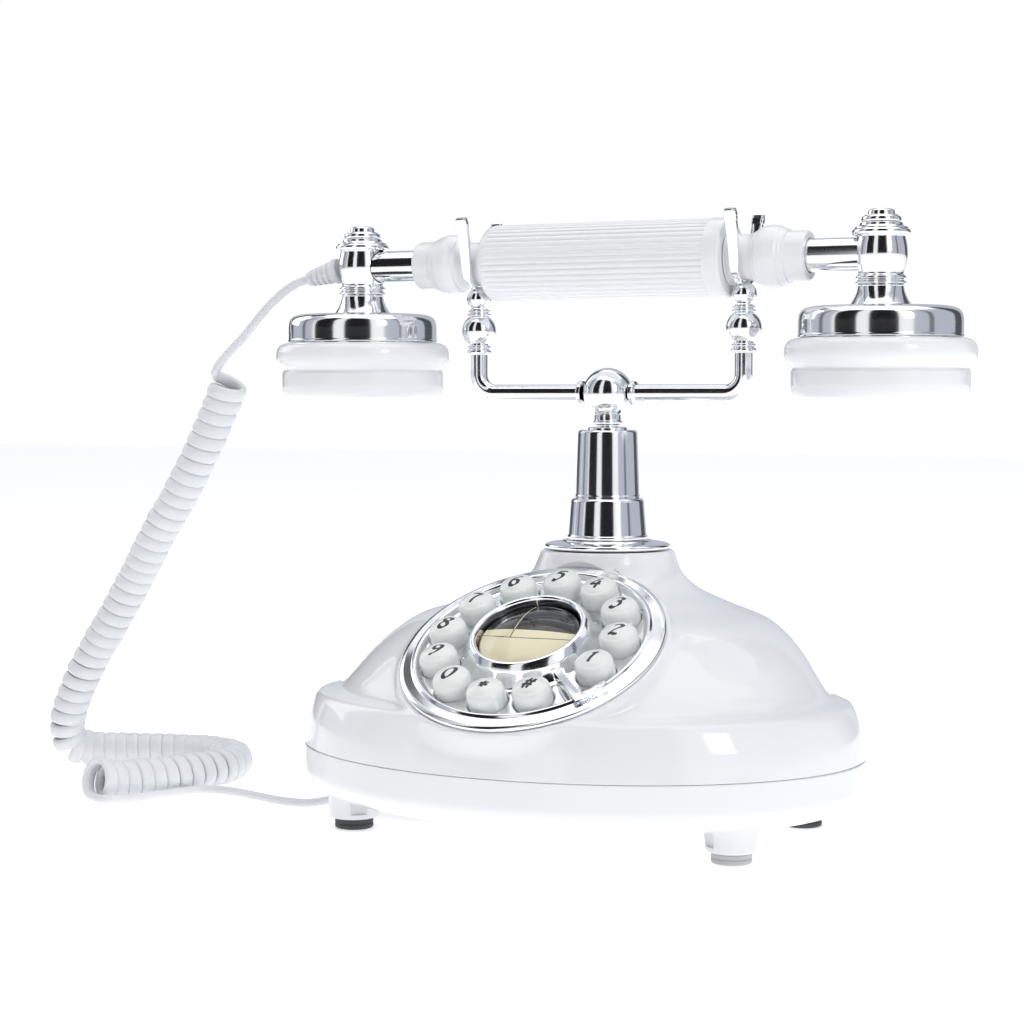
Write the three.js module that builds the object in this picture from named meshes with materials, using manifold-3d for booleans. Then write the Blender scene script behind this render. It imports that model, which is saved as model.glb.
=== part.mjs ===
// Cradle telephone in an antique French style: an oval two-part body carrying a
// tilted round dial with push buttons, a turned stem, a spring-loaded cradle with
// two forks, and a bar handset with a bell-shaped capsule at each end, joined to
// the body by a curly cord.  Millimetres, +Z up, -Y is the dial side.
// The frame origin is on the table under the middle of the body.
import * as THREE from 'three';
import { mergeVertices } from 'three/addons/utils/BufferGeometryUtils.js';
import Module from 'manifold-3d';

const wasm = await Module();
wasm.setup();

// ---------------------------------------------------------------- sizes
const GAP = 0.3;                 // clearance between pieces that touch
const RUN = 0.25;                // running clearance of a sliding piece, on radius
const STEM_Y = 22.48;            // stem axis behind the middle of the body

// body
const WALL = 2.6;                // housing wall
const SEAM_Z = 25.4;             // joint between the lower and upper housing
const BODY_W = 91;               // half width at the seam
const BODY_D = 69.5;             // half depth at the seam
const BODY_Y = -22.1;            // middle of the seam, from the stem axis
const BOTTOM_Z = 9;              // underside of the lower housing
const EDGE_W = 15;               // rounding of the bottom edge, sideways
const EDGE_H = 9;                // rounding of the bottom edge, upwards
const LEDGE_Z = 41.5;            // rim of the shoulder ledge
const SHOULDER_Z = 61;           // widest part of the upper dome's shoulder
const NECK_R = 22;               // neck that carries the stem
const NECK_Z = 86;               // top of the neck
const BLEND = 5;                 // blend between dome and dial podium

// dial
const DIAL_Y = -57;              // dial centre from the stem axis
const DIAL_Z = 61.1;
const DIAL_TILT = THREE.MathUtils.degToRad(30.5);
const DIAL_R = 41;               // outer rim of the dial plate
const COLLAR = 1.2;              // rim of the podium round the dial plate
const SEAT_W = -1.6;             // podium face, along the dial's normal
const BORE_R = 37.6;             // hole in the podium
const PLATE_T = 1.6;             // plate thickness under the buttons
const FLOOR_W = -0.8;            // floor of the channel that holds the buttons
const RING_R = 16.7;             // inner edge of the centre ring
const RING_W = 5.65;             // top of the centre ring
const BUTTON_CIRCLE = 28.1;
const BUTTON_R = 5.9;
const BUTTON_TOP = 5.85;         // apex of a button
const BUTTON_FIRST = -24.7;      // angle of button 1, degrees from +X
const BUTTON_STEP = 28.9;
const PRESS = 2;                 // travel of a button
const STOP_ANGLE = -46;          // finger stop
const STOP_WIDTH = 2.2;

// feet
const FOOT_IN_X = 28;            // feet, in from the sides of the body
const FOOT_IN_Y = 37.5;          // and in from its front and back
const FOOT_X = BODY_W - FOOT_IN_X;
const FOOT_Y = BODY_D - FOOT_IN_Y;
const FOOT_R = 7.8;
const FOOT_Z = 3.3;              // underside of a foot post
const PAD_R = 6.05;
const SCREW_IN_X = 35;           // screw posts, in from the sides
const SCREW_IN_Y = 29.5;
const SCREW_X = BODY_W - SCREW_IN_X;
const SCREW_Y = BODY_D - SCREW_IN_Y;

// stem and cradle
const FLANGE_R = 20.2;
const SLEEVE_R = 12.97;          // foot of the lower sleeve
const SLEEVE_TOP_R = 11.7;
const CONE_R = 10.42;            // foot of the upper cone
const CONE_TOP_R = 9.46;
const SLEEVE_TOP_Z = 102.4;
const CONE_TOP_Z = 124.3;
const PLUNGER_R = 3.3;
const BALL_R = 8.07;
const ROD_Z = 136.12;
const ROD_R = 2.75;
const FORK_GAP = 4.3;            // uprights of the cradle, out from the ends of the grip
const BEND_R = 6;
const HOOK_TRAVEL = 4;
const BIG_BALL_R = 5.54;
const SMALL_BALL_R = 4;
const PRONG_W = 3.6;             // prong width along the handset
const PRONG_T = 2.2;

// handset
const AXIS_Z = 178.3;            // centre line of the handset
const CAP_X = 90;                // heads, from the middle of the handset
const TUBE_R = 5.15;
const TUBE_WALL = 1.2;
const GRIP_R = 12.5;
const GRIP_X = 41.8;             // half length of the grip
const FLUTES = 40;               // facets of the grip, one for each flute
const NECK_SEAT_R = 7.15;        // spindle neck that lies in the fork
const SPINDLE_L = 25.7;          // spindle beyond the end of the grip
const SPINDLE_END = GRIP_X + SPINDLE_L;
const FORK_X = GRIP_X + FORK_GAP;
const HEAD_R = 8.05;
const CAP_DROP = 15.7;           // centre line to the top of the chrome bell
const BELL_H = 9.6;              // bell, down to the moulded ring
const RING_H = 9.1;              // moulded ring, down to its groove
const CUP_H = 9.7;               // cup below the groove
const CAP_TOP_Z = AXIS_Z - CAP_DROP;
const CAP_SEAM_Z = CAP_TOP_Z - BELL_H;
const GROOVE_Z = CAP_SEAM_Z - RING_H;
const CAP_BOTTOM_Z = GROOVE_Z - CUP_H;
const BELL_R = 24.85;
const RIM_R = 29.13;
const CUP_R = 27;
const CAP_WALL = 2.4;
const CAPSULE_R = 19;

// cord
const LEAD_R = 1.35;
const COIL_R = 6.4;

// ---------------------------------------------------------------- materials
const paint = (name, color, roughness, metalness) =>
  Object.assign(new THREE.MeshStandardMaterial({ color, roughness, metalness }), { name });
const white = paint('gloss white', 0xf2f3f6, 0.12, 0);
const chrome = paint('chrome', 0xd8dade, 0.05, 1);
const ivory = paint('button white', 0xeef2ea, 0.1, 0);
const cream = paint('redial cream', 0xeee3bd, 0.12, 0);
const rubber = paint('grey rubber', 0x4c4e50, 0.8, 0);
const steel = paint('steel', 0xa8abb0, 0.35, 1);
const board = paint('board green', 0x2c6a45, 0.5, 0);
const black = paint('black plastic', 0x1d1e20, 0.4, 0);
const cordWhite = paint('cord white', 0xf0f0f2, 0.35, 0);

// ---------------------------------------------------------------- helpers
// Closed indexed mesh with merged points and its faces pointing out.
function closed(source) {
  const g = source.clone();
  g.deleteAttribute('normal');
  g.deleteAttribute('uv');
  const merged = mergeVertices(g, 1e-3);
  const p = merged.attributes.position;
  const index = [];
  const at = i => new THREE.Vector3().fromBufferAttribute(p, i);
  let volume = 0;
  for (let i = 0; i < merged.index.count; i += 3) {
    const [a, b, c] = [0, 1, 2].map(k => merged.index.getX(i + k));
    if (a === b || b === c || a === c) continue;
    index.push(a, b, c);
    volume += at(a).dot(at(b).cross(at(c)));
  }
  if (volume < 0) {
    for (let i = 0; i < index.length; i += 3) [index[i], index[i + 1]] = [index[i + 1], index[i]];
  }
  merged.setIndex(index);
  return merged;
}

function solid(source) {
  const g = closed(source);
  return new wasm.Manifold(new wasm.Mesh({
    numProp: 3,
    vertProperties: new Float32Array(g.attributes.position.array),
    triVerts: new Uint32Array(g.index.array),
  }));
}

function geometry(body) {
  const m = body.getMesh();
  const g = new THREE.BufferGeometry();
  g.setAttribute('position', new THREE.BufferAttribute(m.vertProperties, 3));
  g.setIndex(Array.from(m.triVerts));
  return g;
}

const join = (...bodies) => bodies.reduce((a, b) => a.add(b));
const cut = (body, ...tools) => tools.reduce((a, b) => a.subtract(b), body);

// Turned piece about Z from [radius, height] pairs.
function turned(profile, segments = 16) {
  const points = profile.map(([r, h]) => new THREE.Vector2(r, h));
  if (profile[0][0] > 0) points.push(points[0].clone());
  return new THREE.LatheGeometry(points, segments).rotateX(Math.PI / 2);
}

// The same piece turned about X, its heights running along +X.
const turnedX = (profile, segments) => turned(profile, segments).rotateY(Math.PI / 2);

const disc = (r, z0, z1, segments = 24) => turned([[0, z0], [r, z0], [r, z1], [0, z1]], segments);

function box(x0, x1, y0, y1, z0, z1) {
  return new THREE.BoxGeometry(x1 - x0, y1 - y0, z1 - z0)
    .translate((x0 + x1) / 2, (y0 + y1) / 2, (z0 + z1) / 2);
}

// Skin over rings of equal point count, closed by a fan at each end.
function loft(rings) {
  const n = rings[0].length;
  const position = [], index = [];
  for (const ring of rings) for (const p of ring) position.push(p.x, p.y, p.z);
  const quad = (i, j) => i * n + (j % n);
  for (let i = 0; i + 1 < rings.length; i++) {
    for (let j = 0; j < n; j++) {
      index.push(quad(i, j), quad(i, j + 1), quad(i + 1, j));
      index.push(quad(i, j + 1), quad(i + 1, j + 1), quad(i + 1, j));
    }
  }
  for (const [k, side] of [[0, 1], [rings.length - 1, 0]]) {
    const c = rings[k].reduce((s, p) => s.add(p), new THREE.Vector3()).divideScalar(n);
    position.push(c.x, c.y, c.z);
    const middle = position.length / 3 - 1;
    for (let j = 0; j < n; j++) {
      const [a, b] = [quad(k, j), quad(k, j + 1)];
      index.push(...(side ? [middle, b, a] : [middle, a, b]));
    }
  }
  const g = new THREE.BufferGeometry();
  g.setAttribute('position', new THREE.Float32BufferAttribute(position, 3));
  g.setIndex(index);
  return g;
}

// Round bar swept along a curve.
function sweep(path, r, steps, sides = 8) {
  const section = new THREE.Shape();
  for (let i = 0; i < sides; i++) {
    const a = (2 * Math.PI * i) / sides;
    section[i ? 'lineTo' : 'moveTo'](r * Math.cos(a), r * Math.sin(a));
  }
  section.closePath();
  return new THREE.ExtrudeGeometry(section, { steps, bevelEnabled: false, extrudePath: path });
}

const sphereArc = (r, z, from, to, n) => Array.from({ length: n + 1 }, (_, i) => {
  const a = THREE.MathUtils.degToRad(from + ((to - from) * i) / n);
  return [r * Math.cos(a), z + r * Math.sin(a)];
});

const phone = new THREE.Group();
phone.position.y = STEM_Y;       // everything below is placed from the stem axis

function add(name, shape, material, parent = phone) {
  const g = shape.isBufferGeometry ? closed(shape) : geometry(shape);
  const mesh = new THREE.Mesh(g, material);
  mesh.name = name;
  parent.add(mesh);
  return mesh;
}

// ---------------------------------------------------------------- body surface
// Ovals of the dome: height, half width, half depth, middle from the stem axis.
const DOME = [
  [SEAM_Z, BODY_W, BODY_D, BODY_Y],
  [33, BODY_W - 0.8, BODY_D - 0.8, BODY_Y],
  [38, BODY_W - 2.4, BODY_D - 2.2, BODY_Y],
  [LEDGE_Z, BODY_W - 4.6, BODY_D - 3.8, BODY_Y],
  [LEDGE_Z + 2.2, BODY_W - 11.5, BODY_D - 8.5, -20.5],
  [LEDGE_Z + 6.5, BODY_W - 15.4, BODY_D - 11, -19],
  [54.5, BODY_W - 20.5, BODY_D - 15, -16.5],
  [SHOULDER_Z, BODY_W - 27.1, BODY_D - 20, -13.5],
  [SHOULDER_Z + 4.6, BODY_W - 34, BODY_D - 25, -11],
  [SHOULDER_Z + 9, NECK_R + 20, NECK_R + 14, -6],
  [SHOULDER_Z + 13, NECK_R + 9, NECK_R + 7, -3],
  [79, NECK_R + 2.2, NECK_R + 1.8, -0.6],
  [84, NECK_R, NECK_R, 0],
  [NECK_Z, NECK_R - 0.8, NECK_R - 0.8, 0],
];

// Monotone cubic through column c of the table.
function domeAt(z, c) {
  const n = DOME.length;
  if (z <= DOME[0][0]) return DOME[0][c];
  if (z >= DOME[n - 1][0]) return DOME[n - 1][c];
  const slope = i => (DOME[i + 1][c] - DOME[i][c]) / (DOME[i + 1][0] - DOME[i][0]);
  const tangent = i => {
    if (i === 0) return slope(0);
    if (i === n - 1) return slope(n - 2);
    const [a, b] = [slope(i - 1), slope(i)];
    return a * b <= 0 ? 0 : (2 * a * b) / (a + b);
  };
  let i = 0;
  while (z > DOME[i + 1][0]) i++;
  const h = DOME[i + 1][0] - DOME[i][0];
  const t = (z - DOME[i][0]) / h;
  return (1 + 2 * t) * (1 - t) ** 2 * DOME[i][c] + t * (1 - t) ** 2 * h * tangent(i)
    + t * t * (3 - 2 * t) * DOME[i + 1][c] + t * t * (t - 1) * h * tangent(i + 1);
}

const PODIUM_R = DIAL_R + COLLAR;
const sinT = Math.sin(DIAL_TILT), cosT = Math.cos(DIAL_TILT);

// Distance from (0, from) along (c, s) to the oval of half axes a, b about (0, mid).
function toOval(c, s, from, a, b, mid) {
  const qa = (c / a) ** 2 + (s / b) ** 2;
  const qb = (s * (mid - from)) / b ** 2;
  const disc2 = qb * qb - qa * (((mid - from) / b) ** 2 - 1);
  return disc2 < 0 ? 0 : (qb + Math.sqrt(disc2)) / qa;
}

const smoothMax = (a, b, k) => {
  const h = Math.max(k - Math.abs(a - b), 0) / k;
  return Math.max(a, b) + (h * h * k) / 4;
};
const smoothMin = (a, b, k) => -smoothMax(-a, -b, k);

// One ring of the body: the dome, held under the dial's plane, joined to the
// tilted round podium that carries the dial.
function bodyRing(z, columns, inset = 0) {
  const zs = z + inset;
  const spine = zs < 78 ? -20 : Math.max(-20, -20 + (zs - 78) * 1.5);
  const planeY = DIAL_Y + ((zs - DIAL_Z) * cosT - SEAT_W) / sinT;
  const podiumY = DIAL_Y - ((zs - DIAL_Z) * sinT) / cosT;
  const fade = THREE.MathUtils.smoothstep(zs, SEAM_Z + 0.5, SEAM_Z + 11);
  const ring = [];
  for (let j = 0; j < columns; j++) {
    const a = (2 * Math.PI * (j + 0.5)) / columns;
    const [c, s] = [Math.cos(a), Math.sin(a)];
    let r = toOval(c, s, spine, domeAt(zs, 1), domeAt(zs, 2), domeAt(zs, 3));
    const plane = s < -0.02 && planeY < spine ? (planeY - spine) / s : s < 0 ? 0 : Infinity;
    if (s < 0 && planeY < spine) {
      r = smoothMin(r, plane + 0.6 * Math.max(0, zs - 72) ** 1.5, 6);
    }
    const podium = Math.min(plane, toOval(c, s, spine, PODIUM_R, PODIUM_R / cosT, podiumY));
    if (podium > 0 && podium < 200 && fade > 0) r = smoothMax(r, podium, BLEND * fade);
    r -= inset;
    ring.push(new THREE.Vector3(r * c, spine + r * s, z));
  }
  return ring;
}

const dialFrame = new THREE.Matrix4().makeRotationX(DIAL_TILT).setPosition(0, DIAL_Y, DIAL_Z);
const onDial = g => g.clone().applyMatrix4(dialFrame);

// ---------------------------------------------------------------- upper housing
const footSpots = [];
const screwSpots = [];
for (const sx of [-1, 1]) {
  for (const sy of [-1, 1]) {
    footSpots.push([sx * FOOT_X, BODY_Y + sy * FOOT_Y]);
    screwSpots.push([sx * SCREW_X, BODY_Y + sy * SCREW_Y]);
  }
}

const upperLevels = [SEAM_Z + GAP / 2, 34, 38.5, LEDGE_Z, LEDGE_Z + 1.6, LEDGE_Z + 4, 51, 56,
  SHOULDER_Z, SHOULDER_Z + 4, SHOULDER_Z + 6.5, SHOULDER_Z + 9, SHOULDER_Z + 13,
  79, 84, NECK_Z];
const upperOuter = solid(loft(upperLevels.map(z => bodyRing(z, 42))));
const innerLevels = [SEAM_Z - 3, 38, 46, 53, SHOULDER_Z, SHOULDER_Z + 7, 76, NECK_Z - WALL];
const upperInner = solid(loft(innerLevels.map(z => bodyRing(z, 28, WALL))));
let upper = cut(upperOuter, upperInner);
for (const [x, y] of screwSpots) {
  const post = solid(disc(4, SEAM_Z + GAP / 2, LEDGE_Z + 5, 8).translate(x, y, 0));
  upper = join(upper, post.intersect(upperOuter));
}
upper = cut(upper,
  solid(onDial(disc(DIAL_R + 0.4, SEAT_W, 40, 32))),
  solid(onDial(disc(BORE_R, -11, 10, 32))),
  solid(disc(8.6 + GAP, NECK_Z - 9, NECK_Z + 5, 20)),
  ...screwSpots.map(([x, y]) => solid(disc(1.7, SEAM_Z - 2, SEAM_Z + 8, 6).translate(x, y, 0))));
add('upper_housing', upper, white);

// ---------------------------------------------------------------- lower housing
const lowerHalf = z => (z >= BOTTOM_Z + EDGE_H ? 0
  : EDGE_W * (1 - Math.sqrt(Math.max(0, 1 - ((BOTTOM_Z + EDGE_H - z) / EDGE_H) ** 2))));
const lowerRing = (z, columns, inset = 0) => Array.from({ length: columns }, (_, j) => {
  const a = (2 * Math.PI * (j + 0.5)) / columns;
  const shrink = lowerHalf(z - inset) + inset;
  return new THREE.Vector3((BODY_W - shrink) * Math.cos(a),
    BODY_Y + (BODY_D - shrink) * Math.sin(a), z);
});
let lower = solid(loft([BOTTOM_Z, BOTTOM_Z + 0.6, BOTTOM_Z + 2, BOTTOM_Z + 4.5, BOTTOM_Z + EDGE_H,
  SEAM_Z - GAP / 2].map(z => lowerRing(z, 44))));
lower = cut(lower, solid(loft([BOTTOM_Z + WALL, BOTTOM_Z + WALL + 2, BOTTOM_Z + WALL + EDGE_H,
  SEAM_Z + 3].map(z => lowerRing(z, 28, WALL)))));
for (const [x, y] of footSpots) lower = join(lower, solid(disc(FOOT_R, FOOT_Z, 13, 12).translate(x, y, 0)));
for (const [x, y] of screwSpots) lower = join(lower, solid(disc(5, 11, SEAM_Z - GAP / 2, 8).translate(x, y, 0)));

// pocket under the body for the cord's jack
const POCKET = { x0: -78, x1: -43.6, y0: -36, y1: -24, z1: 17.6 };
lower = join(lower, solid(box(POCKET.x0 + 6, POCKET.x1 + 2, POCKET.y0 - 2, POCKET.y1 + 2, 10, POCKET.z1 + 2)));
// board posts
const BOARD = { x0: -38, x1: 48, y0: -44, y1: 6, z: 15.5 };
const boardSpots = [[BOARD.x0 + 5, BOARD.y0 + 5], [BOARD.x1 - 5, BOARD.y0 + 5],
  [BOARD.x0 + 5, BOARD.y1 - 5], [BOARD.x1 - 5, BOARD.y1 - 5]];
for (const [x, y] of boardSpots) lower = join(lower, solid(disc(3, 11, BOARD.z - GAP, 6).translate(x, y, 0)));
const JACK = { w: 13.4, h: 9.6, z0: 14.6, y0: BODY_Y + BODY_D - 15, y1: BODY_Y + BODY_D - 1.6 };
lower = cut(lower,
  solid(box(POCKET.x0, POCKET.x1, POCKET.y0, POCKET.y1, BOTTOM_Z - 3, POCKET.z1)),
  solid(box(-JACK.w / 2 - GAP, JACK.w / 2 + GAP, JACK.y0 - GAP, JACK.y1 + 9, JACK.z0 - GAP, SEAM_Z + 2)),
  ...footSpots.map(([x, y]) => solid(disc(2.1, FOOT_Z - 2, FOOT_Z + 4, 6).translate(x, y, 0))),
  ...screwSpots.flatMap(([x, y]) => [
    solid(disc(3.6, BOTTOM_Z - 2, 15, 8).translate(x, y, 0)),
    solid(disc(1.7, 12, SEAM_Z + 3, 6).translate(x, y, 0))]));
add('lower_housing', lower, white);

footSpots.forEach(([x, y], i) => {
  const pad = turned([[0, 0], [PAD_R - 0.4, 0], [PAD_R, 0.5], [PAD_R, FOOT_Z - GAP],
    [1.5, FOOT_Z - GAP], [1.5, FOOT_Z + 3], [0, FOOT_Z + 3]], 12);
  add(`foot_pad_${i + 1}`, pad, rubber).position.set(x, y, 0);
});
screwSpots.forEach(([x, y], i) => {
  const screw = turned([[0, 12.6], [3, 12.6], [3.2, 13.1], [3.2, 14.7], [1.4, 14.7], [1.4, SEAM_Z + 7],
    [0, SEAM_Z + 7.6]], 8);
  add(`base_screw_${i + 1}`, screw, steel).position.set(x, y, 0);
});

// ---------------------------------------------------------------- inside the body
const floorZ = BOTTOM_Z + WALL;
add('ballast_plate', box(-35, 35, BODY_Y - BODY_D + 27, BODY_Y - BODY_D + 44, floorZ + GAP, floorZ + 4.3), steel);
add('main_circuit_board', box(BOARD.x0, BOARD.x1, BOARD.y0, BOARD.y1, BOARD.z, BOARD.z + 1.6), board);
add('ringer_speaker', disc(12, floorZ + GAP, floorZ + 9, 16), black).position.set(60, BODY_Y, 0);
const SWITCH_Z = 44;
add('hook_switch', cut(solid(box(-9, 9, -8, 5, BOARD.z + 1.6 + GAP, SWITCH_Z)),
  solid(disc(PLUNGER_R - 0.3 + GAP, 22, SWITCH_Z + 2, 16))), black);
const SPRING_FOOT = SWITCH_Z + GAP;
const DISC_Z = 60;               // collar on the plunger that the spring pushes
add('hook_spring', turned([[4, SPRING_FOOT], [5.1, SPRING_FOOT], [5.1, DISC_Z - GAP],
  [4, DISC_Z - GAP]], 16), steel);

function jack(w, depth, h, holeW, holeH, holeDepth) {
  return cut(solid(box(-w / 2, w / 2, 0, depth, 0, h)),
    solid(box(-holeW / 2, holeW / 2, depth - holeDepth, depth + 5, (h - holeH) / 2, (h + holeH) / 2)));
}
const JACK_HOLE_W = 9.8, JACK_HOLE_H = 6.8, JACK_HOLE_D = 11;
add('line_jack', jack(JACK.w, JACK.y1 - JACK.y0, JACK.h, JACK_HOLE_W, JACK_HOLE_H, JACK_HOLE_D), black)
  .position.set(0, JACK.y0, JACK.z0);

const HJ = { w: 11.4, h: 7.8, depth: 12, hole: 7.2, holeH: 5.6, z: 9.4 };
const handsetJack = add('handset_jack', jack(HJ.w, HJ.depth, HJ.h, HJ.hole, HJ.holeH, 8.5), black);
handsetJack.rotation.z = Math.PI / 2;
handsetJack.position.set(POCKET.x1 - GAP, (POCKET.y0 + POCKET.y1) / 2, HJ.z);

// ---------------------------------------------------------------- stem
add('stem_flange', turned([[8.6 + GAP, NECK_Z + GAP], [FLANGE_R - 1, NECK_Z + GAP],
  [FLANGE_R, NECK_Z + 0.9], [FLANGE_R, NECK_Z + 1.8], [FLANGE_R - 1, NECK_Z + 2.5],
  [SLEEVE_R + 1.2, NECK_Z + 3.2], [8.6 + GAP, NECK_Z + 3.2]], 24), chrome);
const SLEEVE_Z = NECK_Z + 3.2 + GAP;
add('stem_column', turned([[7, NECK_Z - 8], [8.6, NECK_Z - 8], [8.6, SLEEVE_Z], [SLEEVE_R, SLEEVE_Z],
  [SLEEVE_R - 0.2, SLEEVE_Z + 1.2], [SLEEVE_TOP_R, SLEEVE_TOP_Z - 0.6], [SLEEVE_TOP_R - 0.6, SLEEVE_TOP_Z],
  [CONE_R, SLEEVE_TOP_Z], [CONE_TOP_R, CONE_TOP_Z - 0.5], [CONE_TOP_R - 0.6, CONE_TOP_Z],
  [5.9, CONE_TOP_Z], [5.9, CONE_TOP_Z + 1], [PLUNGER_R + RUN, CONE_TOP_Z + 1],
  [PLUNGER_R + RUN, CONE_TOP_Z - 8], [7, CONE_TOP_Z - 8]], 20), chrome);

// ---------------------------------------------------------------- dial
const dial = new THREE.Group();
dial.position.set(0, DIAL_Y, DIAL_Z);
dial.rotation.x = DIAL_TILT;
phone.add(dial);

const underW = FLOOR_W - PLATE_T;
const buttonAngles = Array.from({ length: 12 }, (_, i) =>
  THREE.MathUtils.degToRad(BUTTON_FIRST + i * BUTTON_STEP));
const SKIRT_R = BORE_R - GAP;
let plate = solid(turned([
  [RING_R - 0.7, underW], [RING_R - 0.7, RING_W - 0.8], [RING_R, RING_W], [RING_R + 0.9, RING_W],
  [RING_R + 2.4, RING_W - 2], [RING_R + 3.8, FLOOR_W + 0.9], [RING_R + 4.9, FLOOR_W],
  [34.6, FLOOR_W], [35.3, 1], [36.2, 1.2], [37, 0.4], [39.8, 0.2], [DIAL_R, -0.7],
  [DIAL_R, SEAT_W + GAP], [SKIRT_R, SEAT_W + GAP], [SKIRT_R, -9.5], [SKIRT_R - 1.7, -9.5],
  [SKIRT_R - 1.7, underW]], 28));
plate = cut(plate, ...buttonAngles.map(a => solid(disc(BUTTON_R + RUN, underW - 2, 6, 10)
  .translate(BUTTON_CIRCLE * Math.cos(a), BUTTON_CIRCLE * Math.sin(a), 0))));
add('dial_plate', plate, chrome, dial);

const profileStop = new THREE.Shape([[22, FLOOR_W + GAP], [34.3, FLOOR_W + GAP], [34.3, 1.2 + GAP],
  [38, 1.2 + GAP], [38, 2.8], [37.2, 3.1], [22.4, 3.1], [22, 2.4]].map(([u, v]) => new THREE.Vector2(u, v)));
const bar = new THREE.ExtrudeGeometry(profileStop, { depth: STOP_WIDTH, bevelEnabled: false })
  .translate(0, 0, -STOP_WIDTH / 2).rotateX(Math.PI / 2)
  .rotateZ(THREE.MathUtils.degToRad(STOP_ANGLE));
const lip = new THREE.Shape();
const lipFrom = THREE.MathUtils.degToRad(STOP_ANGLE), lipTo = THREE.MathUtils.degToRad(STOP_ANGLE + 14);
lip.absarc(0, 0, 38, lipFrom, lipTo, false);
lip.absarc(0, 0, 36.4, lipTo, lipFrom, true);
const lipBody = new THREE.ExtrudeGeometry(lip, { depth: 1.1, bevelEnabled: false, curveSegments: 4 })
  .translate(0, 0, 1.2 + GAP);
add('finger_stop', join(solid(bar), solid(lipBody)), chrome, dial);

const MAT_W = -4.4 - PRESS - GAP;
add('keypad_mat', disc(SKIRT_R - 1.7 - GAP, MAT_W - 1.5, MAT_W, 20), rubber, dial);
add('keypad_circuit_board', disc(SKIRT_R - 1.7 - GAP, MAT_W - 3.4, MAT_W - 1.5 - GAP, 20), board, dial);

const flangeTop = underW - GAP;
const buttonNames = ['1', '2', '3', '4', '5', '6', '7', '8', '9', '0', 'star', 'hash'];
buttonNames.forEach((label, i) => {
  const b = turned([[0, -4.4], [3, -4.4], [3, flangeTop - 1], [BUTTON_R + 0.8, flangeTop - 1],
    [BUTTON_R + 0.8, flangeTop], [BUTTON_R, flangeTop], [BUTTON_R, 1.6], [BUTTON_R - 0.5, 3.2],
    [BUTTON_R - 1.7, 4.6], [BUTTON_R - 3.6, BUTTON_TOP - 0.35], [0, BUTTON_TOP]], 10);
  add(`button_${label}`, b, ivory, dial)
    .position.set(BUTTON_CIRCLE * Math.cos(buttonAngles[i]), BUTTON_CIRCLE * Math.sin(buttonAngles[i]), 0);
});
const redialR = RING_R - 0.7 - RUN;
add('redial_button', turned([[0, -4.4], [4, -4.4], [4, flangeTop - 1], [redialR + 1, flangeTop - 1],
  [redialR + 1, flangeTop], [redialR, flangeTop], [redialR, 2.8], [redialR - 0.8, 3.8],
  [redialR - 4, 5.1], [redialR - 9, 6], [0, 6.4]], 20), cream, dial);

// ---------------------------------------------------------------- cradle
const cradle = new THREE.Group();
phone.add(cradle);
const neckAngle = THREE.MathUtils.radToDeg(Math.acos(PLUNGER_R / BALL_R));
add('cradle_plunger', turned([[0, 29], [PLUNGER_R - 0.3, 29], [PLUNGER_R - 0.3, DISC_Z], [6.3, DISC_Z],
  [6.3, DISC_Z + 1.5], [PLUNGER_R, DISC_Z + 1.5],
  ...sphereArc(BALL_R, ROD_Z, -neckAngle, 90, 7).slice(0, -1), [0, ROD_Z + BALL_R]], 16), chrome, cradle);

const CROTCH_Z = AXIS_Z - NECK_SEAT_R - GAP;
const smallZ = CROTCH_Z - SMALL_BALL_R;
const bigZ = smallZ - 10.35;
const ROD_TOP = bigZ - 7.9;
for (const [side, s] of [['left', -1], ['right', 1]]) {
  const bend = Array.from({ length: 5 }, (_, i) => (i * Math.PI) / 8);
  const stations = [[BALL_R + GAP, ROD_Z, 0],
    ...bend.map(t => [FORK_X - BEND_R + BEND_R * Math.sin(t), ROD_Z + BEND_R - BEND_R * Math.cos(t), t]),
    [FORK_X, ROD_TOP, Math.PI / 2]];
  const rings = stations.map(([x, z, t]) => Array.from({ length: 10 }, (_, j) => {
    const q = (j * Math.PI) / 5;
    return new THREE.Vector3(s * (x - ROD_R * Math.sin(t) * Math.cos(q)), ROD_R * Math.sin(q),
      z + ROD_R * Math.cos(t) * Math.cos(q));
  }));
  add(`cradle_rod_${side}`, loft(rings), chrome, cradle);
}

// Fork: turned foot with two balls, then two prongs that hold the spindle's neck.
const clear = NECK_SEAT_R + 0.9 + PRONG_T / 2;
const prong = [[1.2, CROTCH_Z - 1.3], [4.4, CROTCH_Z + 0.1], [clear - 1.1, AXIS_Z - 4.6], [clear, AXIS_Z],
  [clear + 0.9, AXIS_Z + 4.5], [clear + 2.3, AXIS_Z + 9.5], [clear + 4, AXIS_Z + 14.2]];
function prongShape() {
  const n = prong.length;
  const side = prong.map(([y, z], i) => {
    const [a, b] = [prong[Math.max(i - 1, 0)], prong[Math.min(i + 1, n - 1)]];
    const [dy, dz] = [b[0] - a[0], b[1] - a[1]];
    const l = Math.hypot(dy, dz);
    return { y, z, ny: (dz / l) * (PRONG_T / 2), nz: (-dy / l) * (PRONG_T / 2) };
  });
  const outer = side.map(p => [p.y + p.ny, p.z + p.nz]);
  const inner = side.map(p => [p.y - p.ny, p.z - p.nz]).reverse();
  return new THREE.Shape([...outer, ...inner].map(([y, z]) => new THREE.Vector2(y, z)));
}
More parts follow.
